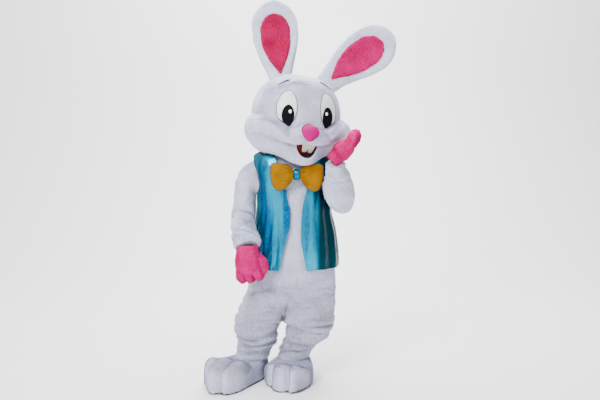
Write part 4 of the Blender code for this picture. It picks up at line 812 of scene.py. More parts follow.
enamel = grained("tooth_enamel", (0.44, 0.43, 0.33), (0.64, 0.62, 0.52), 0.45, grain=260, relief=0.12,
                 drift=30)
lining = grained("mouth_cloth", (0.17, 0.003, 0.005), (0.34, 0.008, 0.012), 0.85, grain=900, relief=0.5,
                 cells=True)
sole_rubber = grained("sole_rubber", (0.030, 0.030, 0.034), (0.070, 0.070, 0.075), 0.75, grain=500,
                      relief=0.6, cells=True)
for node, surface in (("tooth_right", enamel), ("tooth_left", enamel), ("mouth_lining", lining),
                      ("sole_right", sole_rubber), ("sole_left", sole_rubber)):
    refinish(node, surface)

# %% [markdown]
# Each ear is a flat foam paddle in a plush sleeve, closed at the tip and open at the root,
# where it is sewn round to the crown. The front is hollowed and lined with pink plush. The ear
# is built from sections along a bent centreline. The lining is a separate panel laid on the
# front a few millimetres out, with a seam round it that the long white pile half covers.

# %% Ears
# Sections from root to tip: share of the length, half width, half thickness, hollow of the front
EAR = table("along half_width half_thickness hollow", (0.0, 0.066, 0.030, 0.000), (0.15, 0.082, 0.031, 0.006),
            (0.35, 0.112, 0.031, 0.014), (0.55, 0.133, 0.031, 0.020), (0.70, 0.135, 0.030, 0.020),
            (0.82, 0.120, 0.027, 0.014), (0.92, 0.087, 0.022, 0.008), (0.98, 0.045, 0.016, 0.003),
            (1.0, 0.018, 0.009, 0.0))
EARS = {
    # root, middle and tip of each ear's centreline, and the way its hollow faces
    "right": {"root": (-0.062, 0.000, 1.745), "middle": (-0.092, 0.012, 1.970),
              "tip": (-0.103, 0.000, 2.194), "facing": (0.10, -1.0, 0.04)},
    "left": {"root": (0.196, 0.010, 1.722), "middle": (0.385, 0.016, 1.880),
             "tip": (0.588, 0.000, 1.985), "facing": (0.05, -1.0, 0.10)},
}
LINING_PER_M2 = 150000
LINING_OUT = 0.009      # how far the ear's pink lining stands off the ear
EAR_INNER = table("along half_width", (0.08, 0.002), (0.15, 0.022), (0.30, 0.060), (0.50, 0.084),
                  (0.64, 0.084), (0.76, 0.062), (0.82, 0.034), (0.84, 0.004))


def ear_axes(ear, along):
    """Centreline points, the ear's width direction and its facing direction at each share of its length."""
    root, middle, tip = (np.array(ear[k]) for k in ("root", "middle", "tip"))
    bend = 2 * middle - (root + tip) / 2
    s = np.asarray(along)[..., None]
    centre = root * (1 - s) ** 2 + 2 * bend * s * (1 - s) + tip * s ** 2
    run = unit(2 * (bend - root) * (1 - s) + 2 * (tip - bend) * s)
    facing = np.array(ear["facing"])
    facing = unit(facing - run * np.sum(run * facing, axis=-1, keepdims=True))
    return centre, np.cross(run, facing), facing


def ear_front(ear, along, across, out=0.0, back=False):
    """The ear's front (or back) surface; across runs -1 to 1 over its width."""
    centre, wide, facing = ear_axes(ear, along)
    half = read(EAR, "half_width", along)
    dome = np.sqrt(np.clip(1 - np.abs(across) ** 3.2, 0, 1))
    thick = read(EAR, "half_thickness", along) * dome
    hollow = read(EAR, "hollow", along) * (1 - across ** 2) * 1.6
    lift = (-thick if back else thick) - hollow + out
    return centre + wide * (half * across)[..., None] + facing * lift[..., None]


def turned_back(vector):
    """From the costume's axes to the head's own."""
    return turned(np.eye(3), 0, HEAD_ROLL, HEAD_YAW) @ vector


def onto_head(point, toward, search=0.12, stand_off=0.002):
    """The place where a line through point along toward leaves the head's crown, by halving."""
    low, high = -search, search
    for _ in range(40):
        middle = (low + high) / 2
        spot = point + toward * middle
        local = turned_back(spot - HEAD_CENTRE)
        distance = np.linalg.norm(local)
        elevation = math.degrees(math.asin(local[2] / distance))
        azimuth = math.degrees(math.atan2(local[0], -local[1]))
        if distance > head_radius(azimuth, elevation) + stand_off:
            high = middle
        else:
            low = middle
    return point + toward * high


def ear_body(ear, rows=90, around=96):
    """Rings of an ear from the crown to its tip."""
    along = 1 - (1 - np.linspace(0, 1, rows)) ** 1.15
    angle = np.linspace(0, 2 * np.pi, around, endpoint=False)
    across = np.cos(angle)
    back = np.sin(angle) < 0
    rings = np.array([np.where(back[:, None], ear_front(ear, np.full(around, s), across, back=True),
                               ear_front(ear, np.full(around, s), across)) for s in along])
    centre, _, _ = ear_axes(ear, 0.0)
    tip, _, _ = ear_axes(ear, 0.15)
    toward = unit(tip - centre)
    root = np.array([onto_head(p, toward) for p in rings[0]]) - toward * 0.004
    # the first rings ease from the root's line on the head to the straight sections
    settle = np.clip(1 - along / 0.12, 0, 1)[:, None, None] ** 1.5
    return rings + (root - rings[0])[None] * settle


for word, ear in EARS.items():
    rings = ear_body(ear)
    spine = rings.mean(axis=1, keepdims=True)
    run = unit(rings[-1].mean(axis=0) - rings[0].mean(axis=0))
    normals = grid_normals(rings, rings - spine, loop=True)
    base = rings + normals * (creases(rings, 0.0012, 0.06, 21) - PILE_DEPTH)[..., None]
    base[-1] = base[-1].mean(axis=0) * 0.6 + base[-1] * 0.4
    normals = grid_normals(base, base - spine, loop=True)
    body = sewn(f"ear_{word}_cloth", base, normals, f"ear_{word}", backing, loop=True)
    spots, out = scatter(base, normals, PER_M2, loop=True)
    steps = np.linspace(0, 1, 60)
    to_spine = spots[:, None] - ear_axes(ear, steps)[0][None]
    at = steps[np.argmin(np.sum(to_spine ** 2, axis=-1), axis=1)]
    centre, wide, facing = ear_axes(ear, at)
    off = np.abs(np.sum((spots - centre) * wide, axis=-1))
    ahead = np.sum((spots - centre) * facing, axis=-1)
    lined = (off < read(EAR_INNER, "half_width", at) - 0.004) & (ahead > -0.02) & (at > 0.09) & (at < 0.84)
    lined &= np.sum(out * facing, axis=-1) > 0.2
    fur = tufts(f"ear_{word}_pile", spots[~lined], out[~lined], WHITE_SHADES, nap=run)

    rows = np.linspace(0.085, 0.838, 80)[:, None]
    share = np.linspace(-1, 1, 50)
    half = read(EAR_INNER, "half_width", rows) / read(EAR, "half_width", rows) * share
    rows = np.broadcast_to(rows, half.shape)
    sink = 0.004 * ramp(0.8, 1.0, np.abs(share))
    panel = ear_front(ear, rows, half, LINING_OUT - 0.003) - ear_axes(ear, 0.5)[2] * sink[None, :, None]
    facing = np.broadcast_to(ear_axes(ear, 0.5)[2], panel.shape)
    # each lining takes its own copy of the pink: painted shade on the right ear, lit on the left
    plush(f"ear_{word}_lining", f"ear_inner_{word}", panel, facing, surface=pink_backing,
          shades=EAR_SHADES[word], crease=(0.002, 0.05), seed=31, nap=run,
          length=0.0085, extra=0.004, per_m2=LINING_PER_M2)
print("ears sewn")

# %% [markdown]
# The suit is one long garment: a front, two back panels that meet at a zip hidden in the
# centre seam, sleeves set into armholes and four leg panels. Plush is thick, so it doesn't
# drape in thin pleats. It buckles into a few deep, rounded folds at the elbows, knees and
# ankles, and is smooth between them. Under the vest no pile is laid where nobody can see it.

# %% The suit's trunk
HIP_HEIGHT = 0.56       # seam between trunk and legs
CROTCH_HEIGHT = 0.36
LEG_HEM_HEIGHT = 0.139
SEAM_GAP = 0.0003
TRUNK = table("height centre_x half_width front back",
              (1.352, 0.006, 0.100, 0.086, 0.095), (1.335, 0.002, 0.150, 0.104, 0.112),
              (1.305, -0.002, 0.204, 0.126, 0.132), (1.270, -0.002, 0.213, 0.145, 0.146),
              (1.200, 0.004, 0.208, 0.163, 0.156), (1.120, 0.010, 0.196, 0.168, 0.160),
              (1.000, 0.014, 0.198, 0.170, 0.160), (0.880, 0.016, 0.220, 0.174, 0.164),
              (0.760, 0.012, 0.236, 0.178, 0.172), (0.660, 0.004, 0.248, 0.174, 0.178),
              (0.560, 0.000, 0.258, 0.166, 0.174), (0.460, -0.020, 0.273, 0.158, 0.166),
              (0.360, -0.042, 0.296, 0.150, 0.155))
# The middle seam below the hips, where the legs' panels meet
MIDDLE_SEAM = table("height x", (0.360, -0.050), (0.460, -0.026), (0.560, 0.000), (0.600, 0.002))
ARMHOLE = {"height": 1.195, "half_height": 0.104, "reach": 22.0}
# The legs below the hip seam: the wearer's right and left
LEG_RIGHT = table("height centre_x centre_y half_width half_depth",
                  (0.560, -0.130, 0.002, 0.130, 0.160), (0.460, -0.160, 0.000, 0.134, 0.155),
                  (0.360, -0.196, -0.004, 0.1450, 0.145), (0.300, -0.211, -0.010, 0.132, 0.134),
                  (0.240, -0.207, -0.014, 0.122, 0.124), (0.200, -0.213, -0.014, 0.115, 0.116),
                  (0.160, -0.228, -0.012, 0.105, 0.106), (0.120, -0.238, -0.008, 0.100, 0.100))
LEG_LEFT = table("height centre_x centre_y half_width half_depth",
                 (0.560, 0.135, 0.002, 0.130, 0.160), (0.460, 0.112, 0.000, 0.142, 0.158),
                 (0.360, 0.102, -0.006, 0.1515, 0.150), (0.310, 0.104, -0.016, 0.141, 0.144),
                 (0.250, 0.079, -0.022, 0.125, 0.130), (0.205, 0.046, -0.024, 0.110, 0.115),
                 (0.165, 0.020, -0.022, 0.097, 0.104), (0.120, 0.004, -0.018, 0.093, 0.098))
LEGS = {-1: LEG_RIGHT, 1: LEG_LEFT}
# Folds that run round a leg: height at the front, angle of its deepest point, tilt, length, depth, width
LEG_FOLDS = {
    -1: ((0.232, 150, 0.020, 60, 0.012, 0.012), (0.198, 60, -0.004, 80, 0.010, 0.010),
         (0.160, 110, 0.006, 90, 0.014, 0.010), (0.205, -90, 0.005, 70, 0.012, 0.011),
         (0.158, -60, -0.006, 80, 0.012, 0.010), (0.290, -120, 0.010, 50, 0.008, 0.013)),
    1: ((0.305, 120, -0.012, 60, 0.012, 0.012), (0.268, 130, -0.006, 70, 0.013, 0.011),
        (0.222, 85, 0.016, 75, 0.014, 0.012), (0.178, 110, -0.010, 80, 0.014, 0.010),
        (0.250, -70, 0.010, 70, 0.013, 0.012), (0.190, -110, -0.008, 80, 0.013, 0.010),
        (0.390, 60, 0.030, 40, 0.006, 0.014)),
}


def trunk_point(height, turn):
    """The suit's trunk: turn is 0 at the front's middle, +90 at the wearer's left side."""
    angle = np.radians(turn)
    deep = np.where(np.cos(angle) > 0, read(TRUNK, "front", height), read(TRUNK, "back", height))
    x = read(TRUNK, "centre_x", height) + read(TRUNK, "half_width", height) * np.sin(angle)
    return stack(x, -deep * np.cos(angle), height)


def armhole_cut(height, margin=0.0, reach=0.0):
    """Degrees by which the armhole cuts a panel back from the side, at each height."""
    off = (height - ARMHOLE["height"]) / (ARMHOLE["half_height"] + margin)
    return (ARMHOLE["reach"] + reach) * np.sqrt(np.clip(1 - off ** 2, 0, 1))


def fold_depth(folds, level, around):
    """How deep the folds of a limb are, at a level along it and an angle round it."""
    depth = 0
    for at, angle, tilt, length, deep, width in folds:
        off = (around - angle + 180) % 360 - 180
        depth = depth + deep * bell(off, length / 2) * bell(level - at - tilt * off / length, width)
    return depth


def leg_point(side, height, around):
    """A leg: around is 0 at the outer side, 90 at the front, 180 at the inner side, -90 at the back."""
    angle = np.radians(around)
    half, deep = read(LEGS[side], "half_width", height), read(LEGS[side], "half_depth", height)
    fold = fold_depth(LEG_FOLDS[side], height, around)
    leg_x = read(LEGS[side], "centre_x", height) + side * (half - fold) * np.cos(angle)
    leg_y = read(LEGS[side], "centre_y", height) - (deep - fold) * np.sin(angle)
    hip = trunk_point(height, side * (90 - around / 2))
    middle = read(MIDDLE_SEAM, "x", height)
    hip_x = hip[..., 0] + (middle - read(TRUNK, "centre_x", height)) * np.sin(np.radians(around / 2)) ** 4
    blend = np.clip((HIP_HEIGHT - height) / (HIP_HEIGHT - CROTCH_HEIGHT), 0, 1) ** 1.8
    x = hip_x * (1 - blend) + leg_x * blend
    y = hip[..., 1] * (1 - blend) + leg_y * blend
    inside = side * (x - middle)
    x = np.where(height >= CROTCH_HEIGHT - 0.001, middle + side * np.maximum(inside, SEAM_GAP / 2), x)
    return stack(x, y, height)


VEST_EASE = 0.015       # how far the vest hangs off the suit
VEST_TOP = 1.328
VEST_HEM = 0.672
VEST_ARMHOLE_EASE = 0.018
VEST_FLARE = 0.003
VEST_SHOULDER_RISE = 0.010
# Front edges: where each front's free edge lies, left and right of the costume's middle
VEST_EDGE = table("height right left", (1.330, -0.098, 0.112), (1.220, -0.068, 0.106), (1.129, -0.034, 0.082),
                  (1.066, -0.022, 0.066), (1.011, -0.008, 0.057), (0.944, -0.010, 0.052),
                  (0.864, -0.026, 0.050), (0.804, -0.042, 0.056), (0.744, -0.055, 0.068),
                  (0.660, -0.071, 0.082))
# Hanging folds: angle at the shoulder and at the hem, top and bottom heights, depth and half width (degrees)
VEST_FOLDS = (
    (-62, -66, 1.300, 0.660, 0.006, 4.0), (-48, -52, 1.310, 0.640, 0.008, 4.0),
    (-38, -36, 1.300, 0.700, 0.009, 4.0), (-30, -22, 1.250, 0.640, 0.007, 3.5),
    (-78, -82, 1.050, 0.640, 0.006, 4.5), (40, 30, 1.160, 0.800, 0.006, 4.5),
    (58, 52, 1.120, 0.640, 0.007, 5.0), (76, 78, 1.050, 0.640, 0.006, 5.0),
    (100, 104, 1.040, 0.640, 0.006, 5.0), (122, 126, 1.250, 0.640, 0.008, 5.0),
    (146, 148, 1.280, 0.640, 0.007, 5.0), (168, 170, 1.250, 0.640, 0.008, 5.0),
    (-170, -166, 1.280, 0.700, 0.006, 5.0), (-148, -146, 1.280, 0.640, 0.008, 5.0),
    (-124, -126, 1.250, 0.640, 0.007, 5.0), (-101, -104, 1.040, 0.640, 0.006, 5.0),
)


def vest_fold(height, turn):
    """How far the hanging folds push the vest in (troughs) or out (the cloth between them)."""
    push = 0.002
    for top_turn, hem_turn, top, bottom, deep, width in VEST_FOLDS:
        share = np.clip((top - height) / (top - bottom), 0, 1)
        centre = top_turn + (hem_turn - top_turn) * share
        off = (turn - centre + 180) % 360 - 180
        strength = ramp(top + 0.01, top - 0.12, height) * ramp(bottom - 0.02, bottom + 0.08, height)
        push = push - deep * strength * (bell(off, width) - 0.55 * bell(np.abs(off) - 2.1 * width, width))
    return push


def vest_point(height, turn, out=0.0):
    """A point on the vest, which hangs off the trunk."""
    at = trunk_point(height, turn)
    angle = np.radians(turn)
    away = stack(np.sin(angle), -np.cos(angle), np.zeros_like(angle + height))
    flare = VEST_FLARE * ramp(0.95, 0.66, height)
    shift = VEST_EASE + flare + out + vest_fold(height, turn)
    rise = VEST_SHOULDER_RISE * ramp(1.27, 1.32, height)
    return at + away * shift[..., None] + stack(0 * angle, 0 * angle, rise)


def edge_turn(height, which):
    """The angle at which a front's free edge lies."""
    x = read(VEST_EDGE, which, height) - read(TRUNK, "centre_x", height)
    wide = read(TRUNK, "half_width", height) + VEST_EASE
    return np.degrees(np.arcsin(np.clip(x / wide, -0.97, 0.97)))


def panel_grid(heights, starts, ends, columns):
    """Heights and angles of a panel that runs from one line of angles to another."""
    turn = starts[:, None] + (ends - starts)[:, None] * np.linspace(0, 1, columns)
    return np.broadcast_to(heights[:, None], turn.shape), turn


def suit_panel(name, node, heights, starts, ends, columns, seed):
    """A panel of the trunk, hung from the shoulders and sewn along both sides."""
    height, turn = panel_grid(heights, starts, ends, columns)
    points = trunk_point(height, turn)
    middle = stack(read(TRUNK, "centre_x", height), 0 * height, height)
    # pile only where it can be seen: above the neck line of the vest, in its open front and below its hem
    round_turn = (turn + 180) % 360 - 180
    in_front = (round_turn > edge_turn(height, "right") - 6) & (round_turn < edge_turn(height, "left") + 6)
    seen = in_front | (height < VEST_HEM + 0.03) | (height > VEST_TOP - 0.02)
    return plush(name, node, points, points - middle, keep=seen.astype(float), seams=("left", "right"),
                 crease=(0.0030, 0.06), seed=seed)


swing = np.cos(np.linspace(0, np.pi, 40))
heights = np.concatenate([np.linspace(1.352, 1.302, 6), ARMHOLE["height"] + ARMHOLE["half_height"] * swing,
                          np.linspace(1.088, HIP_HEIGHT + SEAM_GAP / 2, 70)])
cut = armhole_cut(heights)
side = 90 - cut - SEAM_ANGLE
suit_panel("suit_front_cloth", "suit_front", heights, -side, side, 170, seed=41)
side = 90 + cut + SEAM_ANGLE
behind = np.full_like(side, 180 - SEAM_ANGLE)
suit_panel("suit_back_right_cloth", "suit_back_right", heights, -behind, -side, 90, seed=42)
suit_panel("suit_back_left_cloth", ["suit_back_left_upper", "suit_back_left_lower"], heights, side, behind,
           90, seed=42)
print("trunk sewn")

# %% [markdown]
# The legs are baggy and gather above the boots. Their folds are troughs that run part of the
# way round and tilt, no two the same, on the back and the inner sides as well as in front.

# %% Legs
HEM_DROP = 0.008        # the soft hem sags onto the boot
PRESSED_SWELL = 0.009   # how far the cloth swells where the legs press on each other
LEG_ROWS = 150
LEG_COLUMNS = 90
leg_heights = np.linspace(HIP_HEIGHT - SEAM_GAP / 2, LEG_HEM_HEIGHT - HEM_DROP, LEG_ROWS)
for side, word in ((-1, "right"), (1, "left")):
    folds = uneven_folds(16, (0.15, 0.34), 91 + side, (0.009, 0.017), (0.006, 0.011), (50, 120))
    folds += uneven_folds(30, (0.30, 0.60), 95 + side, (0.004, 0.009), (0.006, 0.012), (30, 85))
    for face, way in (("front", 1), ("back", -1)):
        around = way * np.linspace(2 * SEAM_ANGLE, 180 - 2 * SEAM_ANGLE, LEG_COLUMNS)
        height, around = (np.array(grid) for grid in np.broadcast_arrays(leg_heights[:, None], around))
        points = leg_point(side, height, around)
        core = stack(read(LEGS[side], "centre_x", height), read(LEGS[side], "centre_y", height), height)
        # below the crotch the legs press on each other, so the folds fade there and the cloth swells
        inward = -side * unit(points - core)[..., 0]
        pressed = ramp(0.2, 0.7, inward) * ramp(0.37, 0.42, height)
        rolls = fold_push(folds, height, around) * (1 - pressed) + PRESSED_SWELL * pressed
        plush(f"leg_{word}_{face}_cloth", f"leg_{word}_{face}", points, points - core,
              seams=("left", "right"), crease=(0.0028, 0.045), seed=51 + side + 3 * way,
              extra=rolls)
print("legs sewn")

# %% [markdown]
# A sleeve starts at the armhole's oval and follows the arm: one hangs and comes forward at the
# elbow, the other is folded up so that the glove can rest against the cheek. Cloth piles up on
# the inside of each bend.

# %% Sleeves
# Sections down each arm: centre, half size across the arm and half size front to back
SLEEVE_RIGHT = table("station x y z across deep",
                     (1, -0.222, 0.000, 1.200, 0.086, 0.078), (2, -0.250, -0.002, 1.155, 0.079, 0.078),
                     (3, -0.272, -0.004, 1.105, 0.068, 0.078), (4, -0.274, -0.008, 1.050, 0.069, 0.074),
                     (5, -0.282, -0.030, 0.988, 0.075, 0.074), (6, -0.284, -0.082, 0.932, 0.071, 0.074),
                     (7, -0.272, -0.138, 0.884, 0.074, 0.072), (8, -0.256, -0.178, 0.845, 0.080, 0.072),
                     (9, -0.246, -0.206, 0.812, 0.084, 0.072))
SLEEVE_LEFT = table("station x y z across deep",
                    (1, 0.240, -0.004, 1.198, 0.084, 0.080), (2, 0.270, -0.002, 1.150, 0.066, 0.072),
                    (3, 0.290, -0.012, 1.105, 0.062, 0.066), (4, 0.294, -0.042, 1.066, 0.060, 0.062),
                    (5, 0.290, -0.090, 1.050, 0.062, 0.062), (6, 0.280, -0.146, 1.064, 0.072, 0.062),
                    (7, 0.268, -0.190, 1.108, 0.088, 0.062), (8, 0.259, -0.214, 1.165, 0.088, 0.062),
                    (9, 0.251, -0.236, 1.218, 0.071, 0.058), (10, 0.242, -0.272, 1.262, 0.056, 0.055),
                    (11, 0.240, -0.291, 1.298, 0.054, 0.055))
SLEEVES = {-1: SLEEVE_RIGHT, 1: SLEEVE_LEFT}
SLEEVE_FOLDS = {
    # station, angle, tilt, length in degrees, depth, width in stations
    -1: ((4.9, 60, 0.5, 110, 0.012, 0.28), (4.3, 130, -0.3, 70, 0.008, 0.30),
         (6.2, 100, 0.3, 80, 0.007, 0.30), (5.3, -70, 0.4, 100, 0.012, 0.28),
         (2.7, 40, -0.4, 60, 0.006, 0.30), (7.6, -100, 0.2, 80, 0.007, 0.30)),
    1: ((8.2, 60, 0.4, 60, 0.006, 0.40), (9.6, 100, -0.3, 90, 0.006, 0.30), (6.8, 120, 0.4, 60, 0.006, 0.35),
        (2.2, 20, 0.3, 80, 0.006, 0.30)),
}
UNDERARM_STATION = 4.0
SLEEVE_PARTS = ("upper", "elbow", "forearm")     # the solids that each sleeve's one cloth stands for


def arm_frames(side):
    """Each station's centre, and its across and front directions carried along the arm without twist."""
    arm = SLEEVES[side]
    centre = np.stack([arm["x"], arm["y"], arm["z"]], axis=1)
    run = unit(np.gradient(centre, axis=0))
    front = np.array([0.0, -1.0, 0.0])
    across, fronts = [], []
    for step in run:
        front = unit(front - step * (step @ front))
        fronts.append(front)
        across.append(side * np.cross(front, step))
    return centre, np.array(across), np.array(fronts)


def arm_ring(side, station, angle):
    """Points round the sleeve: angle 0 is the outer or upper side, 90 the front."""
    arm = SLEEVES[side]
    _, across, fronts = arm_frames(side)
    keys = {name: read(arm, name, station) for name in ("x", "y", "z", "across", "deep")}
    tab_a = {"station": arm["station"], **{f"a{i}": across[:, i] for i in range(3)},
             **{f"f{i}": fronts[:, i] for i in range(3)}}
    wide = unit(np.stack([read(tab_a, f"a{i}", station) for i in range(3)], axis=-1))
    front = unit(np.stack([read(tab_a, f"f{i}", station) for i in range(3)], axis=-1))
    fold = fold_depth(SLEEVE_FOLDS[side], station, angle)
    turn = np.radians(angle)
    a = ((keys["across"] - fold) * np.cos(turn))[..., None]
    d = ((keys["deep"] - fold) * np.sin(turn))[..., None]
    return np.stack([keys["x"], keys["y"], keys["z"]], axis=-1) + wide * a + front * d


def sleeve_ring(side, station, angle, hole):
    """A ring of the sleeve; near the armhole its underside runs straight from the hole to the hanging arm."""
    here = arm_ring(side, np.full(len(angle), station), angle)
    if station >= UNDERARM_STATION:
        return here
    hanging = arm_ring(side, np.full(len(angle), UNDERARM_STATION), angle)
    share = station / UNDERARM_STATION
    under = (ramp(-0.3, 0.9, -np.cos(np.radians(angle))) * ramp(UNDERARM_STATION, 2.0, station))[:, None]
    out_then_down = np.array([1 - (1 - share) ** 3, share, share ** 3])
    return here * (1 - under) + (hole + (hanging - hole) * out_then_down) * under


def armhole_round(side, gap, steps=40):
    """The armhole as a ring from the shoulder, down its front and up its back."""
    height = ARMHOLE["height"] + ARMHOLE["half_height"] * np.cos(np.linspace(0, np.pi, steps + 1))
    cut = armhole_cut(height)
    front = trunk_point(height, side * (90 - cut))
    back = trunk_point(height, side * (90 + cut))
    return np.concatenate([front, back[-2:0:-1]]) + np.array([side * gap, 0, 0])


CUFF_GATHER = {-1: 1.35, 1: 1.45}
for side, word, rows in ((-1, "right", 120), (1, "left", 150)):
    arm = SLEEVES[side]
    angle = np.linspace(0, 360, 80, endpoint=False)
    hole = armhole_round(side, 0.002)
    first = sleeve_ring(side, 1.0, angle, hole)
    rings = [hole * (1 - t) + first * t for t in np.linspace(0, 1, 12)[:-1]]
    last = arm["station"][-1]
    stations = np.linspace(1, last, rows)
    rings += [sleeve_ring(side, s, angle, hole) for s in stations]
    level = np.concatenate([np.linspace(0, 1, 12)[:-1], stations])
    points = np.array(rings)
    # an elastic gathers the cuff and turns its edge in
    spine = points.mean(axis=1, keepdims=True)
    gather = 0.16 * ramp(last - 0.55, last, level)[:, None] + 0.22 * ramp(last - 0.10, last, level)[:, None]
    puckers = np.sin(np.radians(17 * angle) + 2 * np.sin(np.radians(3 * angle)))
    pucker = 0.035 * puckers * ramp(last - 0.9, last, level)[:, None]
    points = spine + (points - spine) * (1 - gather * CUFF_GATHER[side] + pucker)[..., None]
    level_grid, angle_grid = np.meshgrid(level, angle, indexing="ij")
    folds = uneven_folds(16, (1.5, last - 0.3), 101 + side, (0.003, 0.007), (0.10, 0.20), (40, 100))
    rolls = fold_push(folds, level_grid, angle_grid)
    parts = [f"sleeve_{word}_{part}" for part in SLEEVE_PARTS]
    plush(f"sleeve_{word}_cloth", parts, points, points - spine, loop=True, seams=("top",),
          crease=(0.0030, 0.05), seed=61 + side, extra=rolls,
          nap=np.array([0, 0.1, -1.0 if side < 0 else -0.6]))
print("sleeves sewn")

# %% [markdown]
# The vest is metallic lamé: a knit with a foil face. It is thin and has no stiffness, so it
# hangs in long folds from the shoulders and crinkles finely all over. The foil mirrors the
# room in streaks, bright next to nearly black, and that contrast is what makes it read as
# metal. Long streaks of light and dark are also painted into its colour, as painted reflection,
# and it is painted darker toward the arms and where it faces down or up, as painted shade. Its
# free edges are turned under and stitched, which puckers them.

# %% The foil cloth
def lame_cloth():
    """Foil with crinkles and a fine knit; long light and dark streaks are painted into its colour as painted
    reflection, and it is painted darker toward the arms and where it faces down or up, as painted shade.
    """
    made = shader_of("turquoise_lame", (0.0, 0.30, 0.46), 0.30, Metallic=0.80, Specular_IOR_Level=0.1)
    tree = made.node_tree
    shader = tree.nodes["Principled BSDF"]
    place = added(tree, "TexCoord").outputs["Object"]
    stretch = added(tree, "Mapping", Scale=(1.0, 1.0, 0.42))
    crinkle = added(tree, "TexNoise", Scale=42, Detail=4, Roughness=0.60, Distortion=0.5)
    knit = added(tree, "TexVoronoi", Scale=520)
    # painted reflection: noise stretched tall gives long streaks of light and dark turquoise in the colour,
    # standing in for mirrored streaks; the same streaks vary the roughness
    hang = added(tree, "Mapping", Scale=(1.0, 1.0, 0.16))
    drift = added(tree, "TexNoise", Scale=11, Detail=2)
    tones = two_tones(tree, 0.37, (0.0, 0.14, 0.33), 0.55, (0.0, 0.36, 0.53))
    wear = added(tree, "MapRange", To_Min=0.22, To_Max=0.34)

    # painted shade: the colour is darkened to navy toward the arms, and where the foil faces down to the
    # floor or up to the lamps, to mute what it mirrors there
    split, facing = added(tree, "SeparateXYZ"), added(tree, "SeparateXYZ")
    tree.links.new(place, split.inputs[0])
    tree.links.new(added(tree, "NewGeometry").outputs["Normal"], facing.inputs[0])
    depth = faded(tree, split.outputs["X"], 0.128, 0.165, 1.0, 0.10)
    for source, low, high, at_low, at_high in ((split.outputs["X"], -0.185, -0.135, 0.45, 1.0),
                                               (facing.outputs["Z"], -0.40, 0.02, 0.45, 1.0),
                                               (facing.outputs["Z"], 0.35, 0.90, 1.0, 0.30)):
        depth = reckoned(tree, "MULTIPLY", depth, faded(tree, source, low, high, at_low, at_high))
    # the streaked colour times the painted shade
    painted_foil_colour = added(tree, "VectorMath")
    painted_foil_colour.operation = "SCALE"
    broad = added(tree, "Bump", Strength=0.85, Distance=0.006)
    fine = added(tree, "Bump", Strength=0.25, Distance=0.0006)
    wires = (
        (place, stretch.inputs["Vector"]), (stretch.outputs[0], crinkle.inputs["Vector"]),
        (place, knit.inputs["Vector"]),
        (place, hang.inputs["Vector"]), (hang.outputs[0], drift.inputs["Vector"]),
        (drift.outputs["Fac"], tones.inputs["Fac"]), (tones.outputs["Color"], painted_foil_colour.inputs[0]),
        (depth, painted_foil_colour.inputs["Scale"]), (painted_foil_colour.outputs["Vector"], shader.inputs["Base Color"]),
        (drift.outputs["Fac"], wear.inputs["Value"]), (wear.outputs[0], shader.inputs["Roughness"]),
        (crinkle.outputs["Fac"], broad.inputs["Height"]), (broad.outputs["Normal"], fine.inputs["Normal"]),
        (knit.outputs["Distance"], fine.inputs["Height"]), (fine.outputs["Normal"], shader.inputs["Normal"]),
    )
    for source, socket in wires:
        tree.links.new(source, socket)
    return made


lame = lame_cloth()
VEST_CLOTH = 0.0010
HEM_DEPTH = 0.010       # from the edge to its line of stitches
HEM_SWELL = 0.0005
STITCH_GROOVE = 0.0011
STITCH_WIDTH = 0.0016
PUCKER_EVERY = 0.013


def hem_relief(points, edges):
    """A turned and stitched edge: a groove at the stitches, and puckers that pull across it."""
    away = from_edges(points)
    down, across = away["top"], away["left"]
    runs = {"top": across, "bottom": across, "left": down, "right": down}
    push = 0 * down
    for edge in edges:
        pucker = 0.6 + 0.4 * np.sin(2 * np.pi * runs[edge] / PUCKER_EVERY + 2 * np.sin(runs[edge] / 0.05))
        stitched = STITCH_GROOVE * pucker * bell(away[edge] - HEM_DEPTH, STITCH_WIDTH)
        push = push + HEM_SWELL * ramp(HEM_DEPTH, 0, away[edge]) - stitched
    return push


def vest_panel(name, node, heights, starts, ends, columns, edges):
    """A panel of the vest: foil cloth without pile, rippled, with stitched hems along its free edges."""
    height, turn = panel_grid(heights, starts, ends, columns)
    points = vest_point(height, turn, 0.0015)
    normals = grid_normals(points, points - stack(read(TRUNK, "centre_x", height), 0 * height, height))
    ripple = (0.0042 * wander(points * (1, 1, 0.10), 0.042, 70)
              + 0.0012 * wander(points * (1, 1, 0.30), 0.019, 71)
              + 0.0003 * wander(points * (1, 1, 0.5), 0.008, 72))
    points = points + normals * (ripple + hem_relief(points, edges))[..., None]
    piece = sewn(name, points, normals, node, lame, VEST_CLOTH, every=1)
    return piece


beside_arm = ARMHOLE["height"] + (ARMHOLE["half_height"] + VEST_ARMHOLE_EASE) * swing[1:]
heights = np.concatenate([[VEST_TOP], beside_arm, np.linspace(1.068, VEST_HEM, 70)])
cut = armhole_cut(heights, margin=VEST_ARMHOLE_EASE - 0.002, reach=4.0)
right_edge, left_edge = edge_turn(heights, "right"), edge_turn(heights, "left")
vest_panel("vest_front_right_cloth", "vest_front_right", heights, -(90 - cut - SEAM_ANGLE), right_edge, 100,
           ("right", "bottom", "top"))
vest_panel("vest_front_left_cloth", ["vest_front_left_upper", "vest_front_left_lower"], heights, left_edge,
           90 - cut - SEAM_ANGLE, 88, ("left", "bottom", "top"))
vest_panel("vest_back_cloth", "vest_back", heights, 90 + cut + SEAM_ANGLE, 270 - cut - SEAM_ANGLE, 170,
           ("bottom", "top"))
print("vest sewn")

# %% [markdown]
# The bow tie is two stuffed satin wings pinched by a knot of the vest's lamé. Pleats run out
# from the knot and fade, deeper near it. A thin dark tube runs round each wing's edge.

# %% Bow tie
BOW_CENTRE = np.array([0.028, -0.216, 1.220])
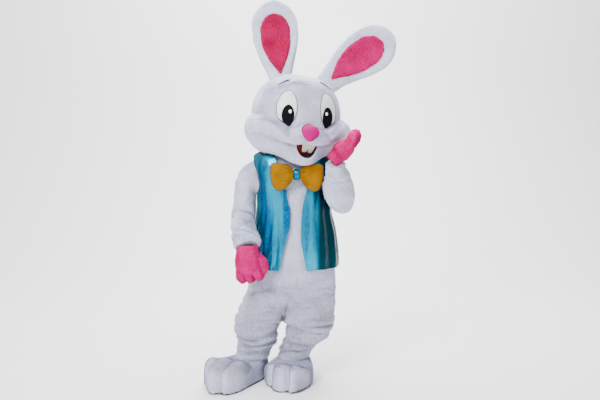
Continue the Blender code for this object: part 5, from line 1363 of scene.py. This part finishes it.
# Sections of one wing outward from the knot: distance, top and bottom edge, half thickness
BOW_WING = table("out top bottom half_thickness", (0.019, 0.022, -0.022, 0.010),
                 (0.030, 0.040, -0.036, 0.013), (0.050, 0.052, -0.064, 0.015),
                 (0.075, 0.057, -0.084, 0.016), (0.100, 0.061, -0.090, 0.016),
                 (0.122, 0.062, -0.080, 0.015), (0.138, 0.056, -0.050, 0.012), (0.146, 0.044, -0.010, 0.007))
KNOT = {"half_width": 0.0185, "half_height": 0.030, "half_thickness": 0.021}

satin = grained("orange_satin", (0.19, 0.076, 0.0), (0.29, 0.128, 0.0), 0.50, grain=800, relief=0.18,
                drift=16, Specular_IOR_Level=0.02)
wing_edge_dark = grained("dark_cord", (0.03, 0.025, 0.02), (0.07, 0.06, 0.05), 0.8, grain=900, relief=0.5)


def stuffed(name, rings, surface, node):
    """A stuffed piece through rings of points, closed at both ends."""
    rows, around = rings.shape[:2]
    ends = [list(range(around)), list(range((rows - 1) * around, rows * around))]
    faces = grid_faces(rows, around, loop=True) + ends
    made = mesh_object(name, rings - (0, 0, SHOULDER_HEIGHT), faces, surface)
    put_right(made)
    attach(made, "root")
    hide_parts(node)


WING_ROWS = 90
WING_AROUND = 96
KNOT_ROWS = 40
KNOT_AROUND = 64


def wing(side, rows=WING_ROWS, around=WING_AROUND):
    """Rings of a wing from the knot outward, with its pleats and puckered edge."""
    out = BOW_WING["out"][0] + (BOW_WING["out"][-1] - BOW_WING["out"][0]) * np.linspace(0, 1, rows)[:, None]
    angle = np.linspace(0, 2 * np.pi, around, endpoint=False)
    top, bottom = read(BOW_WING, "top", out), read(BOW_WING, "bottom", out)
    sine = np.sin(angle)
    up = (top + bottom) / 2 + (top - bottom) / 2 * np.sign(sine) * np.abs(sine) ** 0.8
    drawn_in = ramp(0.115, 0.02, out)
    spread = up / (top - bottom) * 0.085
    pleat = 1 - 0.85 * drawn_in * np.cos(np.pi * spread / 0.0125 + 0.6 * np.sin(out / 0.02)) ** 4
    soft = 1 + 0.05 * np.sin(out / 0.013 + 3 * sine) * ramp(0.03, 0.08, out)
    deep = read(BOW_WING, "half_thickness", out) * np.cos(angle) * pleat * soft
    return stack(side * out + 0 * up, deep + 0.008 * (out / 0.146) ** 2, up - 0.02 * side * out)


for side, word in ((-1, "right"), (1, "left")):
    rings = wing(side) + BOW_CENTRE
    stuffed(f"bow_wing_{word}_stuffed", rings, satin, f"bow_wing_{word}")
    # the edge runs out along the top of the rings, round the end and back along the bottom
    top, bottom = WING_AROUND // 4, 3 * WING_AROUND // 4
    edge = np.concatenate([rings[4:-1, top], rings[-1, top:bottom + 1:6], rings[-2:3:-1, bottom]])
    tube(f"bow_{word}_cord", edge, 0.0034, wing_edge_dark, closed=False)

angle = np.linspace(0, 2 * np.pi, KNOT_AROUND, endpoint=False)
share = np.sin(np.linspace(-np.pi / 2, np.pi / 2, KNOT_ROWS))[:, None]
size = np.maximum(1 - np.abs(share) ** 3.0, 0.06) ** 0.5
gather = 1 + 0.06 * np.cos(9 * angle) * (1 - np.abs(share) ** 2)
knot_rings = stack(KNOT["half_width"] * np.sin(angle) * (0.75 + 0.25 * size) * gather,
                   -KNOT["half_thickness"] * np.cos(angle) * size * gather,
                   KNOT["half_height"] * share + 0 * angle) + BOW_CENTRE
stuffed("bow_knot_stuffed", knot_rings, lame, "bow_knot")
print("bow tie sewn")

# %% [markdown]
# The gloves are four-fingered mitts of short pink plush. Their shape is taken from the solid
# glove, rebuilt as one even skin and smoothed, because the fingers of a plush glove run into
# each other without a hard crease. The raised one is stuffed fuller than the one that hangs.

# %% Gloves
# Sections along a hand from inside the sleeve to past the knuckles
HAND = table("along half_width half_thickness", (-0.030, 0.046, 0.044), (0.012, 0.050, 0.046),
             (0.045, 0.076, 0.056), (0.085, 0.078, 0.052), (0.112, 0.060, 0.044), (0.128, 0.026, 0.024))
GLOVES = {
    # the wrist's place, where the hand and its thumb point, the palm's side, size, fullness of the cuff
    "right": {"wrist": (-0.248, -0.222, 0.792), "along": (0.05, -0.16, -0.98), "thumb": (0.92, -0.40, 0.0),
              "palm": -1, "scale": 1.0, "cuff": 1.30},
    "left": {"wrist": (0.238, -0.300, 1.322), "along": (0.74, -0.06, 0.67), "thumb": (0.05, 1.0, 0.0),
             "palm": 1, "scale": 0.86, "cuff": 0.95},
}
GLOVE_WALL = 0.005
GLOVE_PILE = 0.0075
GLOVE_DENSITY = 1.25    # tufts on the gloves, as a share of the plush's
GLOVE_VOXEL = 0.0036    # size of the skin's cells
CUFF_REACH = 0.015      # how far along the hand the cuff goes
INNER_SIDE = 1.045      # points nearer the hand's axis than this many ovals may be the wall's inner side
PLUMP = {"right": 0.0012, "left": 0.0045}    # stuffing pushes the cloth out past the solid's wall


def hand_frame(glove):
    """The wrist's place and the hand's along, thumb and palm directions."""
    along = unit(np.array(glove["along"]))
    thumb = np.array(glove["thumb"])
    thumb = unit(thumb - along * (thumb @ along))
    return np.array(glove["wrist"]), along, thumb, glove["palm"] * np.cross(along, thumb)


def glove_skin(word):
    """The solid glove's surface as an even, smooth mesh, in metres in the costume's frame."""
    both = bmesh.new()
    for name in (f"glove_{word}", f"glove_{word}_cuff"):
        node = bpy.data.objects[name]
        part = bpy.data.meshes.new_from_object(node.evaluated_get(bpy.context.evaluated_depsgraph_get()))
        part.transform(node.matrix_world)
        both.from_mesh(part)
    mesh = bpy.data.meshes.new(f"glove_{word}_cloth")
    both.to_mesh(mesh)
    both.free()
    skin = bpy.data.objects.new(f"glove_{word}_cloth", mesh)
    bpy.context.scene.collection.objects.link(skin)
    even = skin.modifiers.new("even", "REMESH")
    even.mode, even.voxel_size = "VOXEL", GLOVE_VOXEL
    smooth = skin.modifiers.new("smooth", "SMOOTH")
    smooth.factor, smooth.iterations = 0.5, 5
    bpy.context.view_layer.update()
    done = bpy.data.meshes.new_from_object(skin.evaluated_get(bpy.context.evaluated_depsgraph_get()))
    skin.modifiers.clear()
    skin.data = done
    done.materials.clear()
    done.materials.append(pink_backing)
    done.shade_smooth()
    return skin


for word, glove in GLOVES.items():
    skin = glove_skin(word)
    mesh = skin.data
    count = len(mesh.vertices)
    points, normals = np.empty(3 * count), np.empty(3 * count)
    mesh.vertices.foreach_get("co", points)
    mesh.vertices.foreach_get("normal", normals)
    points, normals = points.reshape(-1, 3), normals.reshape(-1, 3)
    wrist, ahead, thumb, palm = hand_frame(glove)
    local = (points + (0, 0, SHOULDER_HEIGHT) - wrist) / glove["scale"]
    reach = local @ ahead
    cuff = np.where(reach < CUFF_REACH, glove["cuff"], 1.0)
    wide = read(HAND, "half_width", reach) * cuff - GLOVE_WALL
    thick = read(HAND, "half_thickness", reach) * cuff - GLOVE_WALL
    oval = np.sqrt((local @ thumb / wide) ** 2 + (local @ palm / thick) ** 2)
    axis = wrist + np.outer(reach, ahead) * glove["scale"] - (0, 0, SHOULDER_HEIGHT)
    inside = (oval < INNER_SIDE) & (np.sum((points - axis) * normals, axis=1) < 0)
    moved = points + normals * np.where(inside, 0.0, PLUMP[word])[:, None]
    mesh.vertices.foreach_set("co", moved.ravel())
    mesh.update()
    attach(skin, "root")
    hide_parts(f"glove_{word}", f"glove_{word}_cuff")
    mesh.calc_loop_triangles()
    tris = np.empty(3 * len(mesh.loop_triangles), int)
    mesh.loop_triangles.foreach_get("vertices", tris)
    tris = tris.reshape(-1, 3)
    tris = tris[~inside[tris].any(axis=1)]
    a, b, c = (moved[tris[:, i]] for i in range(3))
    area = np.linalg.norm(np.cross(b - a, c - a), axis=1) / 2
    count = int(PER_M2 * GLOVE_DENSITY * area.sum())
    pick = RANDOM.choice(len(tris), count, p=area / area.sum())
    u, v = np.sqrt(RANDOM.random((count, 1))), RANDOM.random((count, 1))
    spots = (1 - u) * a[pick] + u * (1 - v) * b[pick] + u * v * c[pick] + (0, 0, SHOULDER_HEIGHT)
    out = unit(normals[tris[pick]].mean(axis=1))
    fur = tufts(f"glove_{word}_pile", spots, out, PINK_SHADES, nap=ahead, length=GLOVE_PILE)
    around = 2 * np.pi * HAND["half_width"].max() * glove["scale"]
    print(skin.name, len(mesh.polygons), "faces")

# %% [markdown]
# The boots are big padded feet worn over shoes: plush over thick foam, with two sewn channels
# that divide each front into three toes, and a thin rubber sole. The channels are pulled tight,
# so the pile closes over them and they show as dark lines.

# %% Boots
BOOTS = {
    # where the ankle stands, how far the foot is turned, each toe's share of the full length, how high the
    # toes stand, how far they splay to one side, and how far the waist is tucked in on its inner side
    "right": {"ankle": (-0.242, -0.006), "turn": -26.0, "toes": (1.06, 1.21, 1.25), "rise": 1.15,
              "splay": -0.042, "tuck": 0.022},
    "left": {"ankle": (0.010, -0.020), "turn": -17.0, "toes": (0.76, 0.92, 1.0), "rise": 0.80,
             "splay": 0.004, "tuck": -0.012},
}
# Levels of a boot from the sole up: how far it swells from the ankle's ring to the full outline
BOOT = table("height swell length", (0.0, 0.94, 0.97), (0.025, 1.0, 1.0), (0.066, 1.0, 1.0),
             (0.098, 0.93, 0.95), (0.115, 0.76, 0.80), (0.125, 0.48, 0.52), (0.130, 0.23, 0.23),
             (0.134, 0.03, 0.03), (0.158, 0.0, 0.0))
BOOT_LENGTH = 0.325     # ankle's middle to the longest toe's tip
TOE_RISE = 0.046        # how much higher the toes stand than the instep
TOE_GROOVE = 0.010
GROOVE_SPREAD = 0.016
CHANNEL_DEPTH = 0.004   # of the stitched line in each groove
CHANNEL_WIDTH = 0.004
TOE_NOTCH = 0.09        # how far the outline steps back between two toes, as a share of the length
TOES_ACROSS = 2.84
BOOT_HALF_WIDTH = 0.150
HEEL_REACH = 0.105
ANKLE_RADIUS = 0.072
SOLE_THICKNESS = 0.010


def boot_outline(angle, boot):
    """Plan outline round the ankle: 0 is straight ahead. Three toes swell from the front."""
    forward = np.cos(angle)
    length = np.where(forward > 0, BOOT_LENGTH, HEEL_REACH)
    across = np.sin(angle)
    grow = ramp(-0.3, 0.75, forward)
    half = HEEL_REACH * (1 - grow) + BOOT_HALF_WIDTH * grow
    power = 2.0 + 0.9 * grow
    reach = (np.abs(forward / length) ** power + np.abs(across / half) ** power) ** (-1 / power)
    x, y = reach * across, reach * forward
    share = x / BOOT_HALF_WIDTH
    toes = boot["toes"]
    toe = np.select([share < -1 / TOES_ACROSS, share > 1 / TOES_ACROSS], [toes[0], toes[2]], toes[1])
    front = ramp(0.10, 0.26, y)
    between = np.abs(np.cos(np.pi * share * TOES_ACROSS / 2)) ** 0.8
    tucked = boot["tuck"] * bell(y - 0.08, 0.07) * ramp(0.0, 0.08, x * np.sign(boot["tuck"]))
    x = x + boot["splay"] * ramp(-0.05, 0.20, y) - tucked
    return x, y * (1 - front) + y * front * toe * (1 - TOE_NOTCH + TOE_NOTCH * between)


def boot_round(boot, height, around=220):
    """One level of the boot's upper, with its toe channels."""
    spread = np.linspace(0, 2 * np.pi, around, endpoint=False)
    angle = spread - 0.55 * np.sin(spread) * ramp(-0.2, 1.0, np.cos(spread))
    x, y = boot_outline(angle, boot)
    swell, length = read(BOOT, "swell", height), read(BOOT, "length", height)
    ring_x, ring_y = ANKLE_RADIUS * np.sin(angle), ANKLE_RADIUS * np.cos(angle)
    x = ring_x + (x - ring_x) * swell
    y = ring_y + (y - ring_y) * length
    upper = ramp(0.03, 0.10, height) * ramp(0.13, 0.25, y)
    line = np.abs(x - boot["splay"]) - BOOT_HALF_WIDTH / TOES_ACROSS
    groove = bell(line, GROOVE_SPREAD)
    stitch = bell(line, CHANNEL_WIDTH) * ramp(0.12, 0.20, y)
    forward = ramp(0.2, 0.9, np.cos(angle))
    tuck = CHANNEL_DEPTH * stitch * forward * ramp(0.015, 0.05, height)
    size = np.sqrt(x * x + y * y)
    x, y = x * (1 - tuck / size), y * (1 - tuck / size)
    raised = upper * (TOE_RISE * boot["rise"] - TOE_GROOVE * groove)
    sunk = CHANNEL_DEPTH * stitch * ramp(0.05, 0.09, height)
    level = stack(x, -y, height + raised - sunk)
    return turned(level, 0, 0, boot["turn"]) + np.array([*boot["ankle"], 0.0])


levels = np.concatenate([np.linspace(SOLE_THICKNESS + 0.0012, 0.096, 32), np.linspace(0.0975, 0.1335, 50),
                         np.linspace(0.137, 0.158, 8)])
for word, boot in BOOTS.items():
    points = np.array([boot_round(boot, h) for h in levels])
    middle = points.mean(axis=1, keepdims=True) * (1, 1, 0) + np.array([0, 0, 0.04])
    toes = turned(np.array([[0.0, -1.0, 0.0]]), 0, 0, boot["turn"])[0]
    plush(f"boot_{word}_cloth", f"boot_{word}", points, points - middle, loop=True, seams=("bottom",),
          crease=(0.0015, 0.07), seed=81, nap=toes * 0.9 + np.array([0, 0, -0.6]), length=0.009)
print("boots sewn")

# %% [markdown]
# The tail is a round puff, filled and closed with a drawstring, and sewn flat against the seat.

# %% Tail
TAIL = {"centre": (0.0, 0.238, 0.590), "radius": 0.066}
angle = np.linspace(0, 2 * np.pi, 90, endpoint=False)
share = np.sin(np.linspace(np.arcsin(-0.88), np.pi / 2 - 0.03, 50))[:, None]
size = TAIL["radius"] * np.sqrt(1 - share * share)
puff = stack(size * np.cos(angle), TAIL["radius"] * share + 0 * angle, size * np.sin(angle))
puff = puff + np.array(TAIL["centre"])
normals = grid_normals(puff, puff - np.array(TAIL["centre"]), loop=True)
base = puff - normals * PILE_DEPTH
body = sewn("tail_cloth", base, normals, "tail", backing, loop=True)
spots, out = scatter(base, normals, PER_M2, loop=True)
fur = tufts("tail_pile", spots, out, WHITE_SHADES, nap=np.array([0.0, 0.3, -1.0]))
print("tail sewn")

# %% [markdown]
# Last, the scene is brought up to date.

# %% Finish
bpy.context.view_layer.update()
